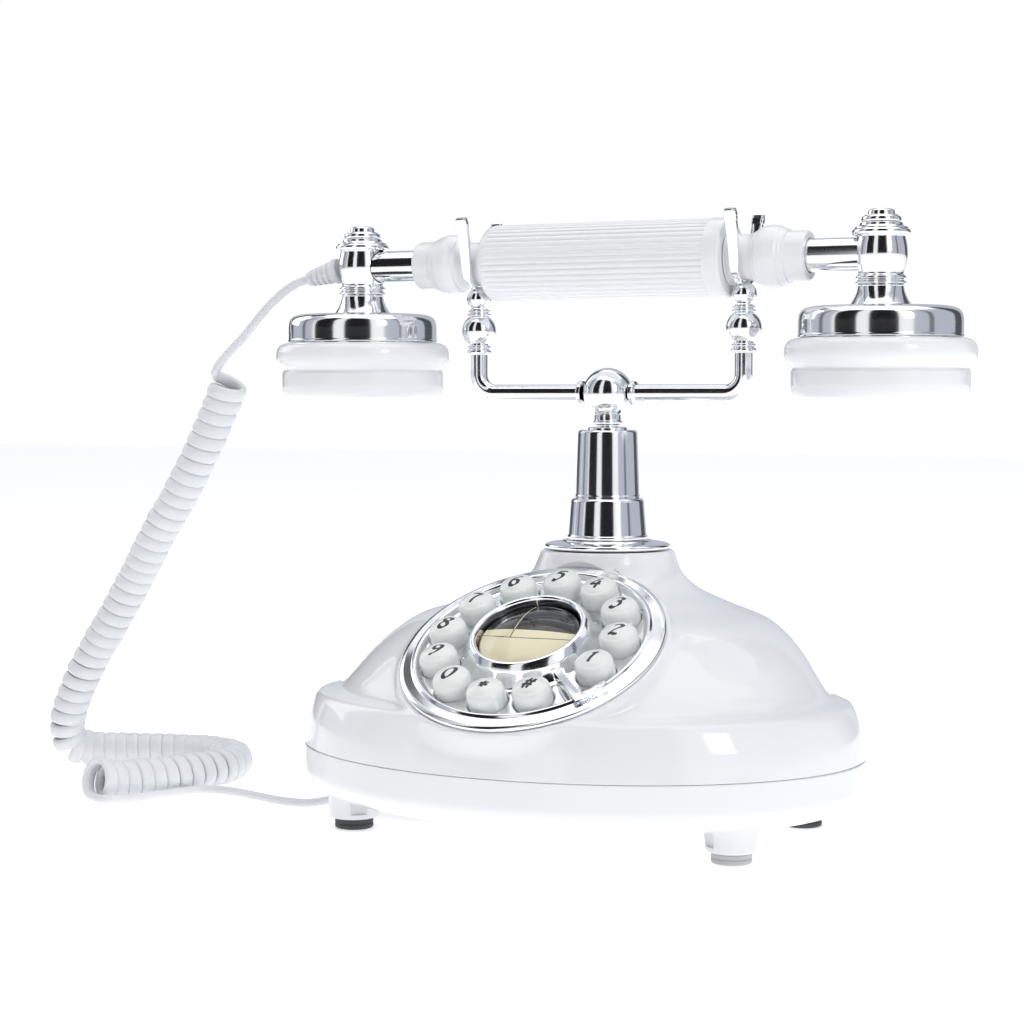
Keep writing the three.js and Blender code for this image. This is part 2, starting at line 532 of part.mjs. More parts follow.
for (const [side, s] of [['left', -1], ['right', 1]]) {
  const foot = solid(turned([[0, ROD_TOP + GAP], [3.6, ROD_TOP + GAP], [3.6, ROD_TOP + 2.2], [2.7, ROD_TOP + 2.4],
    ...sphereArc(BIG_BALL_R, bigZ, -58, 58, 4), [3.6, bigZ + 5], [3.6, bigZ + 5.7], [3, bigZ + 5.9], [3, bigZ + 6.5],
    ...sphereArc(SMALL_BALL_R, smallZ, -46, 70, 4), [0, CROTCH_Z]], 12));
  const arms = [-1, 1].map(m => {
    const arm = new THREE.ExtrudeGeometry(prongShape(), { depth: PRONG_W, bevelEnabled: false })
      .translate(0, 0, -PRONG_W / 2);
    const basis = new THREE.Matrix4().makeBasis(new THREE.Vector3(0, m, 0), new THREE.Vector3(0, 0, 1),
      new THREE.Vector3(1, 0, 0));
    return solid(arm.applyMatrix4(basis));
  });
  add(`cradle_fork_${side}`, join(foot, ...arms), chrome, cradle).position.x = s * FORK_X;
}

// ---------------------------------------------------------------- handset
const handset = new THREE.Group();
handset.position.z = AXIS_Z;     // the handset's own frame is on its centre line
phone.add(handset);
const TUBE_END = CAP_X - 3;
add('handset_tube', turnedX([[TUBE_R - TUBE_WALL, -TUBE_END], [TUBE_R, -TUBE_END], [TUBE_R, TUBE_END],
  [TUBE_R - TUBE_WALL, TUBE_END]], 16), chrome, handset);

const BORE = TUBE_R + RUN;
const gripRing = (x, r) => Array.from({ length: FLUTES }, (_, j) => {
  const a = (2 * Math.PI * j) / FLUTES;
  return new THREE.Vector3(x, r * Math.cos(a), r * Math.sin(a));
});
const grip = loft([gripRing(-GRIP_X, GRIP_R - 2.6), gripRing(-GRIP_X + 1, GRIP_R - 0.9),
  gripRing(-GRIP_X + 3, GRIP_R), gripRing(GRIP_X - 0.6, GRIP_R), gripRing(GRIP_X, GRIP_R - 0.8)]);
add('grip', cut(solid(grip), solid(turnedX([[0, -GRIP_X - 2], [BORE, -GRIP_X - 2], [BORE, GRIP_X + 2],
  [0, GRIP_X + 2]], 16))), white, handset);

for (const [side, turn] of [['left', Math.PI], ['right', 0]]) {
  const collar = turnedX([[BORE, GRIP_X + GAP], [8.6, GRIP_X + GAP], [8.2, GRIP_X + 0.7],
    [NECK_SEAT_R, GRIP_X + 1.1], [NECK_SEAT_R, GRIP_X + 7.8],
    [8, GRIP_X + 9.2], [9.3, GRIP_X + 11.6], [9.8, GRIP_X + 14.2], [9.4, GRIP_X + 16.8], [8.5, GRIP_X + 18],
    [8.5, GRIP_X + 19], [7.75, GRIP_X + 19.4], [7.75, SPINDLE_END - 0.5],
    [7.3, SPINDLE_END], [BORE, SPINDLE_END]], 16);
  add(`collar_${side}`, collar, white, handset).rotation.z = turn;
}

const headTop = 9.3;
const headFoot = GAP - CAP_DROP;
const headProfile = [[0, headFoot - 5.9], [3, headFoot - 5.9], [3, headFoot], [8.75, headFoot],
  [8.4, headFoot + 1.1], [7.1, headFoot + 2.9], [6.8, -9.7], [7.45, -8.5], [7.45, -6.9], [6.75, -5.5],
  [7.4, -3.3], [HEAD_R, -0.3], [7.7, 3.1], [7.3, 5.1], [8.5, 5.9], [8.95, 7.1], [8.3, 8.7], [6.4, headTop],
  [0, headTop]];
for (const [side, s] of [['left', -1], ['right', 1]]) {
  const head = cut(solid(turned(headProfile, 16)),
    solid(turnedX([[0, -20], [TUBE_R + RUN, -20], [TUBE_R + RUN, -CAP_X + TUBE_END + GAP],
      [0, -CAP_X + TUBE_END + GAP]], 16).rotateZ(s > 0 ? 0 : Math.PI)),
    solid(disc(2.8, headTop - 4, headTop + 2, 10)));
  add(`head_${side}`, head, chrome, handset).position.x = s * CAP_X;
  const f = headTop + GAP;
  add(`finial_${side}`, turned([[0, f - 3.6], [2.5, f - 3.6], [2.5, f], [5.95, f], [5.95, f + 1.5],
    [5.4, f + 1.9], [4.05, f + 1.9], [4.05, f + 3.4], [3.3, f + 4], [0, f + 4]], 12), chrome, handset)
    .position.x = s * CAP_X;
  const bellTop = CAP_TOP_Z - AXIS_Z, seam = CAP_SEAM_Z - AXIS_Z + GAP / 2;
  add(`bell_cap_${side}`, turned([[3 + RUN, bellTop], [BELL_R - 3.3, bellTop], [BELL_R - 1.3, bellTop - 0.7],
    [BELL_R - 0.2, bellTop - 2], [BELL_R, bellTop - 3.6], [BELL_R, seam], [20.6, seam], [20.6, seam - 3],
    [19, seam - 3], [19, bellTop - 3], [18, bellTop - 1.6], [3 + RUN, bellTop - 1.6]], 24), chrome, handset)
    .position.x = s * CAP_X;
  const [lo, gr, hi] = [CAP_BOTTOM_Z - AXIS_Z, GROOVE_Z - AXIS_Z, CAP_SEAM_Z - AXIS_Z - GAP / 2];
  let cup = solid(turned([[0, lo], [CUP_R - 3, lo], [CUP_R - 0.9, lo + 0.9], [CUP_R, lo + 3],
    [CUP_R, gr - 0.6], [CUP_R - 0.4, gr], [RIM_R - 1.2, gr + 0.5], [RIM_R - 0.2, gr + 2.2], [RIM_R, gr + 4.6],
    [RIM_R - 0.3, hi - 2], [RIM_R - 1.6, hi - 0.5], [RIM_R - 3, hi], [20.9, hi], [20.9, hi - 2],
    [CUP_R - CAP_WALL - 0.6, hi - 4], [CUP_R - CAP_WALL - 0.6, lo + 2.2], [0, lo + 2.2]], 24));
  const holes = [[0, 0]];
  for (let i = 0; i < 6; i++) holes.push([8 * Math.cos(i * Math.PI / 3), 8 * Math.sin(i * Math.PI / 3)]);
  if (s > 0) for (let i = 0; i < 8; i++) holes.push([15 * Math.cos(i * Math.PI / 4), 15 * Math.sin(i * Math.PI / 4)]);
  cup = cut(cup, ...holes.map(([x, y]) => solid(disc(1.4, lo - 2, lo + 4, 5).translate(x, y, 0))));
  add(s < 0 ? 'mouthpiece_cap' : 'earpiece_cap', cup, white, handset).position.x = s * CAP_X;
  add(s < 0 ? 'microphone_capsule' : 'receiver_capsule', turned([[0, lo + 2.2 + GAP],
    [s < 0 ? 9 : CAPSULE_R, lo + 2.2 + GAP], [s < 0 ? 9 : CAPSULE_R, lo + (s < 0 ? 8 : 9)],
    [0, lo + (s < 0 ? 8 : 9)]], 20), black, handset).position.x = s * CAP_X;
}

// ---------------------------------------------------------------- cord
// Strain relief on the left head, the plain lead, the curly part as one tube of its
// outer diameter, the plain tail on the table, and the plug in its jack.
const bootAxis = new THREE.Vector3(-0.975, 0, -0.222).normalize();
const bootFoot = new THREE.Vector3(-CAP_X - HEAD_R - GAP - 0.3, 0, AXIS_Z - 0.8);
const BOOT_L = 12.6;
const boot = add('cord_boot', turned([[0, 0], [4.25, 0], [4.25, 2], [3.4, 9.5], [2.75, BOOT_L - 0.6],
  [2.4, BOOT_L], [0, BOOT_L]], 14), cordWhite);
boot.position.copy(bootFoot);
boot.quaternion.setFromUnitVectors(new THREE.Vector3(0, 0, 1), bootAxis);

const curve = points => new THREE.CatmullRomCurve3(points.map(p => new THREE.Vector3(...p)), false,
  'centripetal');
const leadStart = bootFoot.clone().addScaledVector(bootAxis, BOOT_L + GAP);
const LEAD = [leadStart.toArray(), [-118.6, -0.4, 171.9], [-126.7, -1.2, 165.4], [-134.4, -2.6, 156.6],
  [-139.6, -3.8, 149.2], [-142.8, -4.7, 141.5]];
add('cord_upper_lead', sweep(curve(LEAD), LEAD_R, 9), cordWhite);

const COIL = [[-139.8, -5, 139.4], [-145.5, -5, 127.5], [-151.3, -5, 116.4], [-162.2, -5, 98.2],
  [-168.9, -5, 88.5], [-178.5, -5, 72.5], [-188.7, -5, 56.6], [-198.7, -5, 42], [-206.4, -4.6, 28.5],
  [-211, -3.6, 17], [-211.6, -0.4, 9.8], [-207.4, 4, 7], [-199.5, 7.5, 6.5], [-190, 10.5, 6.5],
  [-179, 13.5, 6.5], [-168, 15.8, 6.5], [-157.5, 15, 6.5], [-149, 10.3, 6.5], [-144.3, 1.8, 6.5],
  [-143.5, -8, 6.5], [-145.5, -17, 6.5], [-149.5, -27, 6.5], [-155, -37, 6.5], [-160.5, -46.5, 6.9],
  [-163.5, -52.5, 7.3]];
add('cord_coil', sweep(curve(COIL), COIL_R, 40), cordWhite);

const jackY = (POCKET.y0 + POCKET.y1) / 2, jackZ = HJ.z + HJ.h / 2;
const PLUG_X = -61.5;
const TAIL = [[-164.4, -54.2, 1.8], [-159.6, -56.7, 1.5], [-155, -54.5, 1.5], [-151, -49, 1.5],
  [-147.4, -40, 1.5], [-144.5, -31.5, 1.5], [-140.2, -25, 1.5], [-134, -22.6, 1.5], [-126, -23.6, 1.5],
  [-113.3, -28, 1.5], [-100, -31.8, 1.5], [-90, -33.2, 2.2], [-81, -31.4, 4.6], [-73, -30.4, 8.6],
  [-67, -30, 12], [PLUG_X - GAP, jackY, jackZ]];
add('cord_tail', sweep(curve(TAIL), LEAD_R, 28), cordWhite);
add('cord_plug', box(PLUG_X, POCKET.x1 - GAP - HJ.depth + 8.2, jackY - HJ.hole / 2 + GAP,
  jackY + HJ.hole / 2 - GAP, jackZ - HJ.holeH / 2 + GAP, jackZ + HJ.holeH / 2 - GAP), cordWhite);

export default phone;
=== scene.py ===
"""Cradle telephone in an antique French style: the looks, built round the fixed frame.

Shapes are worked out in millimetres from the stem axis and placed in the frame in
metres.  Each operator makes one piece or one group of like pieces.
"""

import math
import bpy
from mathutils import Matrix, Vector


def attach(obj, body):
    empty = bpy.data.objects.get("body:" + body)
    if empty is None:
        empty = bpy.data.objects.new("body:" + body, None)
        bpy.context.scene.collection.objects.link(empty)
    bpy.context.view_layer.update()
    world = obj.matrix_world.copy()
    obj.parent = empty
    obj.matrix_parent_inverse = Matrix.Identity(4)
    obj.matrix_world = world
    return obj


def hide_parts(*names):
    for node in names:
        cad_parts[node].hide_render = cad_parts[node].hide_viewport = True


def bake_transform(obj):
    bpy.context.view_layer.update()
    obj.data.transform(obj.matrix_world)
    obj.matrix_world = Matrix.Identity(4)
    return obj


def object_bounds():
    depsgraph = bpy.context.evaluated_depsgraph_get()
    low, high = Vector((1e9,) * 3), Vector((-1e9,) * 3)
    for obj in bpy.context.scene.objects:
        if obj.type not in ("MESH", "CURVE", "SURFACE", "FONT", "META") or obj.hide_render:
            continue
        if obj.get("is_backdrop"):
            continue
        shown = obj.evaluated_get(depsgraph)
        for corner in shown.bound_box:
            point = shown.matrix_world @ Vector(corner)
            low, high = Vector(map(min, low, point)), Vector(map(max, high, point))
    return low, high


bl_info = {
    "name": "Cradle Telephone",
    "version": (1, 0, 0),
    "blender": (4, 5, 0),
    "location": "View3D > Sidebar > Telephone",
    "description": "A white and chrome cradle telephone with push buttons and a curly cord",
    "category": "Add Mesh",
}

import bpy
import numpy as np
from bpy.props import FloatProperty, FloatVectorProperty, IntProperty, PointerProperty
from mathutils import Matrix, Vector

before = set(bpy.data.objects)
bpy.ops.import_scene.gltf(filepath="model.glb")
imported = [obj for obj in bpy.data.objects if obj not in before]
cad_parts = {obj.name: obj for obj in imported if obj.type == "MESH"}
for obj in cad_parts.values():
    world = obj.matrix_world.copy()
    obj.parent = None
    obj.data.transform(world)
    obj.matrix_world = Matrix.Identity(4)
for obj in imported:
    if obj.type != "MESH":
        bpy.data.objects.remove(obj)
CAD_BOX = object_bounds()


# ---------------------------------------------------------------- sizes and colours
def length(name, description, millimetres):
    """A size property, kept in metres and shown in the scene's unit."""
    return FloatProperty(name=name, description=description, default=millimetres / 1000,
                         min=0.0, unit="LENGTH", precision=5)


def colour(name, description, r, g, b):
    """A colour property, linear."""
    return FloatVectorProperty(name=name, description=description, default=(r, g, b),
                               subtype="COLOR", min=0.0, max=1.0)


class PHONE_PG_body(bpy.types.PropertyGroup):
    half_width: length("Half width", "Half width of the body at its seam", 91)
    half_depth: length("Half depth", "Half depth of the body at its seam", 69.5)
    wall: length("Wall", "Thickness of the moulded housing", 2.6)
    seam: length("Seam height", "Height of the joint between the two housings", 25.4)
    underside: length("Underside", "Height of the flat underside", 9)
    ledge: length("Ledge height", "Height of the rim of the shoulder ledge", 41.5)
    shoulder: length("Shoulder height", "Widest part of the shoulder", 61)
    neck_radius: length("Neck radius", "Radius of the neck under the stem", 22)
    neck_top: length("Neck top", "Height of the top of the neck", 86)
    foot_radius: length("Foot radius", "Radius of a foot post", 7.8)
    pad_radius: length("Pad radius", "Radius of a rubber pad", 6.05)


class PHONE_PG_dial(bpy.types.PropertyGroup):
    tilt: FloatProperty(name="Tilt", description="Tilt of the dial from level",
                        default=math.radians(30.5), subtype="ANGLE")
    radius: length("Dial radius", "Outer rim of the dial plate", 41)
    bore: length("Bore radius", "Hole in the podium under the plate", 37.6)
    ring_radius: length("Ring radius", "Inner edge of the centre ring", 16.7)
    ring_height: length("Ring height", "Top of the centre ring above the rim", 5.65)
    button_circle: length("Button circle", "Radius of the circle of buttons", 28.1)
    button_radius: length("Button radius", "Radius of a push button", 5.9)
    button_top: length("Button top", "Top of a push button above the rim", 5.85)
    pen: length("Pen width", "Width of the broad nib that writes the numerals", 0.88)


class PHONE_PG_stem(bpy.types.PropertyGroup):
    sleeve_radius: length("Sleeve radius", "Foot of the lower sleeve", 12.97)
    cone_radius: length("Cone radius", "Foot of the upper cone", 10.42)
    top: length("Stem top", "Height of the top of the cone", 124.3)
    ball_radius: length("Ball radius", "Ball that carries the two rods", 8.07)
    rod_radius: length("Rod radius", "Radius of a cradle rod", 2.75)
    rod_height: length("Rod height", "Height of the rods", 136.12)


class PHONE_PG_handset(bpy.types.PropertyGroup):
    axis: length("Centre line", "Height of the centre line of the handset", 178.3)
    head_spread: length("Head spread", "From the middle to each head", 90)
    tube_radius: length("Tube radius", "Radius of the chrome tube", 5.15)
    grip_radius: length("Grip radius", "Radius of the fluted grip", 12.5)
    grip_half: length("Grip half length", "Half length of the grip", 41.8)
    flute_depth: length("Flute depth", "Depth of a flute of the grip", 0.42)
    flutes: IntProperty(name="Flutes", description="Flutes round the grip", default=40, min=8)
    bell_radius: length("Bell radius", "Radius of the chrome bell", 24.85)
    rim_radius: length("Rim radius", "Radius of the moulded ring", 29.13)
    cup_radius: length("Cup radius", "Radius of the cup below the ring", 27)


class PHONE_PG_cord(bpy.types.PropertyGroup):
    wire: length("Wire", "Diameter of the plain ends of the cord", 2.7)
    flat_width: length("Coiled width", "Width of the flattened cord in the curls", 4.75)
    flat_thickness: length("Coiled thickness", "Thickness of the flattened cord", 2.5)
    curl_radius: length("Curl radius", "Radius of the middle of a curl", 5.15)
    curls: IntProperty(name="Curls", description="Turns of the curly part", default=61, min=4)


class PHONE_PG_finish(bpy.types.PropertyGroup):
    white: colour("Gloss white", "Moulded housings and handset", 0.90, 0.906, 0.93)
    cord_white: colour("Cord white", "Cord and strain relief", 0.80, 0.81, 0.84)
    chrome: colour("Chrome", "Plated pieces", 0.83, 0.838, 0.86)
    button: colour("Button white", "Push buttons", 0.85, 0.88, 0.86)
    ink: colour("Ink", "Numerals", 0.012, 0.012, 0.014)
    cream: colour("Cream", "Lower part of the redial button", 0.84, 0.77, 0.54)
    rubber_dark: colour("Dark rubber", "Three of the pads", 0.07, 0.072, 0.076)
    rubber_light: colour("Pale rubber", "Front right pad", 0.62, 0.62, 0.63)


SETTINGS = {"phone_body": PHONE_PG_body, "phone_dial": PHONE_PG_dial, "phone_stem": PHONE_PG_stem,
            "phone_handset": PHONE_PG_handset, "phone_cord": PHONE_PG_cord,
            "phone_finish": PHONE_PG_finish}

# Heights, offsets and clearances that every size below shares, in millimetres.
GAP = 0.3
RUN = 0.25
STEM_Y = 22.48
BODY_Y = -22.1
DIAL_Y, DIAL_Z, SEAT_W, FLOOR_W, PLATE_T = -57.0, 61.1, -1.6, -0.8, 1.6
BUTTON_FIRST, BUTTON_STEP = math.radians(-24.7), math.radians(28.9)
STOP_ANGLE = math.radians(-46)
POCKET = (-78.0, -43.6, -36.0, -24.0, 17.6)


class Sizes:
    """The lengths of one property group, in millimetres; other values as they are."""

    def __init__(self, group):
        for name in group.__annotations__:
            value = getattr(group, name)
            keep = not isinstance(value, float) or name == "tilt"
            setattr(self, name, value if keep else round(value * 1000, 4))


def sizes(name):
    return Sizes(getattr(bpy.context.scene, name))


# ---------------------------------------------------------------- surfaces
def skin(points, rows_closed=False, poles=(None, None)):
    """Shell over a grid of points, whose second index runs round each ring.  Row i joins row
    i + 1, and each end is closed by a fan to its pole, or to the mean of its ring."""
    n, m, _ = points.shape
    i, j = np.meshgrid(np.arange(n if rows_closed else n - 1), np.arange(m), indexing="ij")
    i2, j2 = (i + 1) % n, (j + 1) % m
    quads = np.stack([i * m + j, i * m + j2, i2 * m + j2, i2 * m + j], -1).reshape(-1, 4)
    verts = points.reshape(-1, 3)
    fans = []
    if not rows_closed:
        for k, row, flip in ((0, 0, True), (1, n - 1, False)):
            tip = points[row].mean(0) if poles[k] is None else np.asarray(poles[k], float)
            verts = np.vstack([verts, tip])
            a = row * m + np.arange(m)
            b = row * m + (np.arange(m) + 1) % m
            c = np.full(m, len(verts) - 1)
            fans.append(np.stack([b, a, c] if flip else [a, b, c], -1))
    tris = np.vstack(fans) if fans else np.zeros((0, 3), int)
    return outward(verts, quads, tris)


def outward(verts, quads, tris):
    """Turns every face round if the signed volume of the closed shell is negative."""
    t = np.vstack([quads[:, [0, 1, 2]], quads[:, [0, 2, 3]], tris])
    a, b, c = verts[t[:, 0]], verts[t[:, 1]], verts[t[:, 2]]
    if np.einsum("ij,ij->", a, np.cross(b, c)) < 0:
        quads, tris = quads[:, ::-1], tris[:, ::-1]
    return verts, quads, tris


def rounded(profile, steps=5):
    """Outline whose corners are eased: each (radius, height, ease) point becomes a short
    parabola that leaves its two sides at the distance ease."""
    p = np.array([q[:2] for q in profile], float)
    out = []
    for k, q in enumerate(profile):
        ease = q[2] if len(q) > 2 else 0.25
        if k in (0, len(profile) - 1) or ease == 0:
            out.append(p[k][None])
            continue
        a, b = p[k - 1] - p[k], p[k + 1] - p[k]
        la, lb = np.hypot(*a), np.hypot(*b)
        d = min(ease, 0.48 * la, 0.48 * lb)
        t = np.linspace(0, 1, steps)[:, None]
        out.append(p[k] + a / la * d * (1 - t) ** 2 + b / lb * d * t ** 2)
    return np.vstack(out)


def turned(profile, segments=96, ease=None):
    """Solid of revolution about Z.  A profile that starts and ends on the axis is closed by
    poles; any other is taken as a ring and closes on itself."""
    line = rounded(profile) if ease is None else np.asarray(profile, float)
    a = np.arange(segments) * 2 * np.pi / segments
    on_axis = line[0, 0] < 1e-6 and line[-1, 0] < 1e-6
    body = line[1:-1] if on_axis else line
    grid = np.stack([body[:, None, 0] * np.cos(a), body[:, None, 0] * np.sin(a),
                     np.broadcast_to(body[:, None, 1], (len(body), segments))], -1)
    if on_axis:
        return skin(grid, poles=((0, 0, line[0, 1]), (0, 0, line[-1, 1])))
    return skin(grid, rows_closed=True)


def arc(r, z, start, end, n):
    """Points of a ball's outline from one latitude to another, in degrees."""
    a = np.radians(np.linspace(start, end, n))
    return [(r * math.cos(t), z + r * math.sin(t), 0) for t in a]


def prism(outline, low, high):
    """Straight solid of a flat outline in X and Y, between two heights."""
    o = np.asarray(outline, float)
    ring = lambda z: np.column_stack([o, np.full(len(o), float(z))])
    return skin(np.stack([ring(low), ring(high)]))


def block(x0, x1, y0, y1, z0, z1):
    """Box between two corners."""
    return prism([(x0, y0), (x1, y0), (x1, y1), (x0, y1)], z0, z1)


def smooth_line(points, count):
    """Centripetal Catmull-Rom curve through the points, sampled evenly along its length."""
    p = np.asarray(points, float)
    p = np.vstack([2 * p[0] - p[1], p, 2 * p[-1] - p[-2]])
    knots = np.concatenate([[0], np.cumsum(np.linalg.norm(np.diff(p, axis=0), axis=1) ** 0.5)])
    fine = []
    for k in range(1, len(p) - 2):
        t0, t1, t2, t3 = knots[k - 1:k + 3]
        t = np.linspace(t1, t2, 40, endpoint=k == len(p) - 3)[:, None]
        a1 = (t1 - t) / (t1 - t0) * p[k - 1] + (t - t0) / (t1 - t0) * p[k]
        a2 = (t2 - t) / (t2 - t1) * p[k] + (t - t1) / (t2 - t1) * p[k + 1]
        a3 = (t3 - t) / (t3 - t2) * p[k + 1] + (t - t2) / (t3 - t2) * p[k + 2]
        b1 = (t2 - t) / (t2 - t0) * a1 + (t - t0) / (t2 - t0) * a2
        b2 = (t3 - t) / (t3 - t1) * a2 + (t - t1) / (t3 - t1) * a3
        fine.append((t2 - t) / (t2 - t1) * b1 + (t - t1) / (t2 - t1) * b2)
    return resampled(np.vstack(fine), count)


def resampled(line, count):
    """The same line at even steps of its length."""
    s = np.concatenate([[0], np.cumsum(np.linalg.norm(np.diff(line, axis=0), axis=1))])
    at = np.linspace(0, s[-1], count)
    return np.stack([np.interp(at, s, line[:, k]) for k in range(line.shape[1])], -1)


def unit(v):
    return v / np.linalg.norm(v, axis=-1, keepdims=True)


def tangents(line):
    return unit(np.gradient(line, axis=0))


def carried_frame(line, first):
    """Frame that turns as little as it can along a line: each normal is the last one with
    its part along the new direction taken away."""
    t = tangents(line)
    n = np.empty_like(t)
    last = np.asarray(first, float)
    for k in range(len(t)):
        last = last - t[k] * last.dot(t[k])
        last = last / np.linalg.norm(last)
        n[k] = last
    return t, n, np.cross(t, n)


def swept(line, n, b, outline):
    """Skin of an outline carried along a line: outline[i] gives the ring's points as offsets
    along the normal n and the binormal b of station i."""
    grid = line[:, None] + outline[..., :1] * n[:, None] + outline[..., 1:] * b[:, None]
    return skin(grid)


def oval(half_n, half_b, sides, power=2.0):
    """Ring of a superellipse with half axes half_n and half_b, which may be arrays."""
    a = np.arange(sides) * 2 * np.pi / sides
    c, s = np.cos(a), np.sin(a)
    shape = lambda v: np.sign(v) * np.abs(v) ** (2 / power)
    return np.stack([np.multiply.outer(half_n, shape(c)), np.multiply.outer(half_b, shape(s))], -1)


def moved(shell, turn=None, at=(0, 0, 0)):
    """The shell turned by a matrix and shifted."""
    v, q, t = shell
    if turn is not None:
        v = v @ np.asarray(turn, float).T
    return v + np.asarray(at, float), q, t


def rot_x(a):
    return np.array([[1, 0, 0], [0, math.cos(a), -math.sin(a)], [0, math.sin(a), math.cos(a)]])


def rot_z(a):
    return np.array([[math.cos(a), -math.sin(a), 0], [math.sin(a), math.cos(a), 0], [0, 0, 1]])


ALONG_X = np.array([[0, 0, 1], [0, 1, 0], [-1, 0, 0]], float)      # a piece turned about Z, laid along +X


def on_dial(shell):
    """A shell drawn on the dial's own axes, laid on the tilted dial."""
    return moved(shell, rot_x(sizes("phone_dial").tilt), (0, DIAL_Y, DIAL_Z))


# ---------------------------------------------------------------- meshes
def mesh_of(name, shells, uv=None):
    """One mesh of several shells, each with the index of its material.  uv turns the points,
    in millimetres, into the mesh's own map."""
    verts, faces, slots, base = [], [], [], 0
    for shell in shells:
        (v, q, t), material = shell if isinstance(shell[0], tuple) else (shell, 0)
        verts.append(v)
        faces += (q + base).tolist() + (t + base).tolist()
        slots += [material] * (len(q) + len(t))
        base += len(v)
    v = np.vstack(verts)
    mesh = bpy.data.meshes.new(name)
    mesh.from_pydata(((v + (0, STEM_Y, 0)) / 1000).tolist(), [], faces)
    mesh.polygons.foreach_set("material_index", slots)
    mesh.update()
    if uv is not None:
        which = np.empty(len(mesh.loops), int)
        mesh.loops.foreach_get("vertex_index", which)
        mesh.uv_layers.new(name="map").data.foreach_set("uv", uv(v)[which].ravel())
    return mesh


def shade(mesh, sharp):
    mesh.shade_smooth()
    mesh.set_sharp_from_angle(angle=math.radians(sharp))


def piece(name, shells, materials, body, replaces=(), sharp=38, uv=None, ease=0.0,
          cuts=(), joins=()):
    """Adds a finished piece: joins and cuts are applied, edges are eased, and it rides."""
    mesh = mesh_of(name, shells, uv)
    for m in materials:
        mesh.materials.append(finish(m))
    obj = bpy.data.objects.new(name, mesh)
    bpy.context.scene.collection.objects.link(obj)
    for tools, operation in ((joins, "UNION"), (cuts, "DIFFERENCE")):
        for k, tool in enumerate(tools):
            other = bpy.data.objects.new(f"{name}_tool_{operation}_{k}", mesh_of("tool", [tool]))
            bpy.context.scene.collection.objects.link(other)
            mod = obj.modifiers.new("cut", "BOOLEAN")
            mod.operation, mod.solver, mod.object = operation, "MANIFOLD", other
    if ease:
        mod = obj.modifiers.new("ease", "BEVEL")
        mod.width, mod.segments, mod.limit_method = ease / 1000, 3, "ANGLE"
        mod.angle_limit = math.radians(40)
    if obj.modifiers:
        used = [m.object for m in obj.modifiers if m.type == "BOOLEAN"]
        done = bpy.data.meshes.new_from_object(
            obj.evaluated_get(bpy.context.evaluated_depsgraph_get()))
        if not len(done.polygons):
            raise RuntimeError(f"{name}: a cut left nothing")
        obj.modifiers.clear()
        obj.data = done
        done.name = name
        for other in used:
            bpy.data.objects.remove(other)
    shade(obj.data, sharp)
    if body:
        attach(obj, body)
    if replaces:
        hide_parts(*replaces)
    return obj


# ---------------------------------------------------------------- shader pieces
class Tree:
    """Short way to write a node tree: node(kind, values, settings) adds a node, and a value
    that is an output socket is linked."""

    def __init__(self, tree):
        self.tree = tree

    def node(self, kind, values=(), **settings):
        n = self.tree.nodes.new(kind)
        for key, value in settings.items():
            setattr(n, key, value)
        for key, value in dict(values).items():
            if isinstance(value, bpy.types.NodeSocket):
                self.tree.links.new(value, n.inputs[key])
            else:
                n.inputs[key].default_value = value
        return n

    def math(self, operation, a, b=0.0, c=0.0, clamp=False):
        n = self.node("ShaderNodeMath", {0: a, 1: b, 2: c}, operation=operation, use_clamp=clamp)
        return n.outputs[0]

    def ramp(self, value, low, high, to_low=0.0, to_high=1.0):
        """Smooth step of a value from low to high."""
        n = self.node("ShaderNodeMapRange", {"Value": value, "From Min": low, "From Max": high,
                                             "To Min": to_low, "To Max": to_high},
                      interpolation_type="SMOOTHSTEP")
        return n.outputs["Result"]

    def band(self, value, low, high, soft):
        """1 between low and high, falling to 0 over soft on each side."""
        return self.math("MULTIPLY", self.ramp(value, low - soft, low + soft),
                         self.ramp(value, high - soft, high + soft, 1.0, 0.0))

    def mix(self, factor, a, b):
        n = self.node("ShaderNodeMix", {}, data_type="RGBA")
        for socket, value in ((n.inputs[0], factor), (n.inputs[6], a), (n.inputs[7], b)):
            if isinstance(value, bpy.types.NodeSocket):
                self.tree.links.new(value, socket)
            else:
                socket.default_value = value
        return n.outputs[2]

    def mix_value(self, factor, a, b):
        """Value that runs from a to b as the factor runs from 0 to 1."""
        n = self.node("ShaderNodeMapRange", {"Value": factor, "To Min": a, "To Max": b})
        return n.outputs["Result"]


def group(name, inputs, outputs, build):
    """Shader node group with named float or vector sockets, built once."""
    g = bpy.data.node_groups.get(name)
    if g is None:
        g = bpy.data.node_groups.new(name, "ShaderNodeTree")
        for label, kind, default in inputs:
            s = g.interface.new_socket(label, in_out="INPUT", socket_type=kind)
            if default is not None:
                s.default_value = default
        for label, kind in outputs:
            g.interface.new_socket(label, in_out="OUTPUT", socket_type=kind)
        t = Tree(g)
        source = g.nodes.new("NodeGroupInput")
        sink = g.nodes.new("NodeGroupOutput")
        for label, socket in build(t, source.outputs).items():
            g.links.new(socket, sink.inputs[label])
    return g


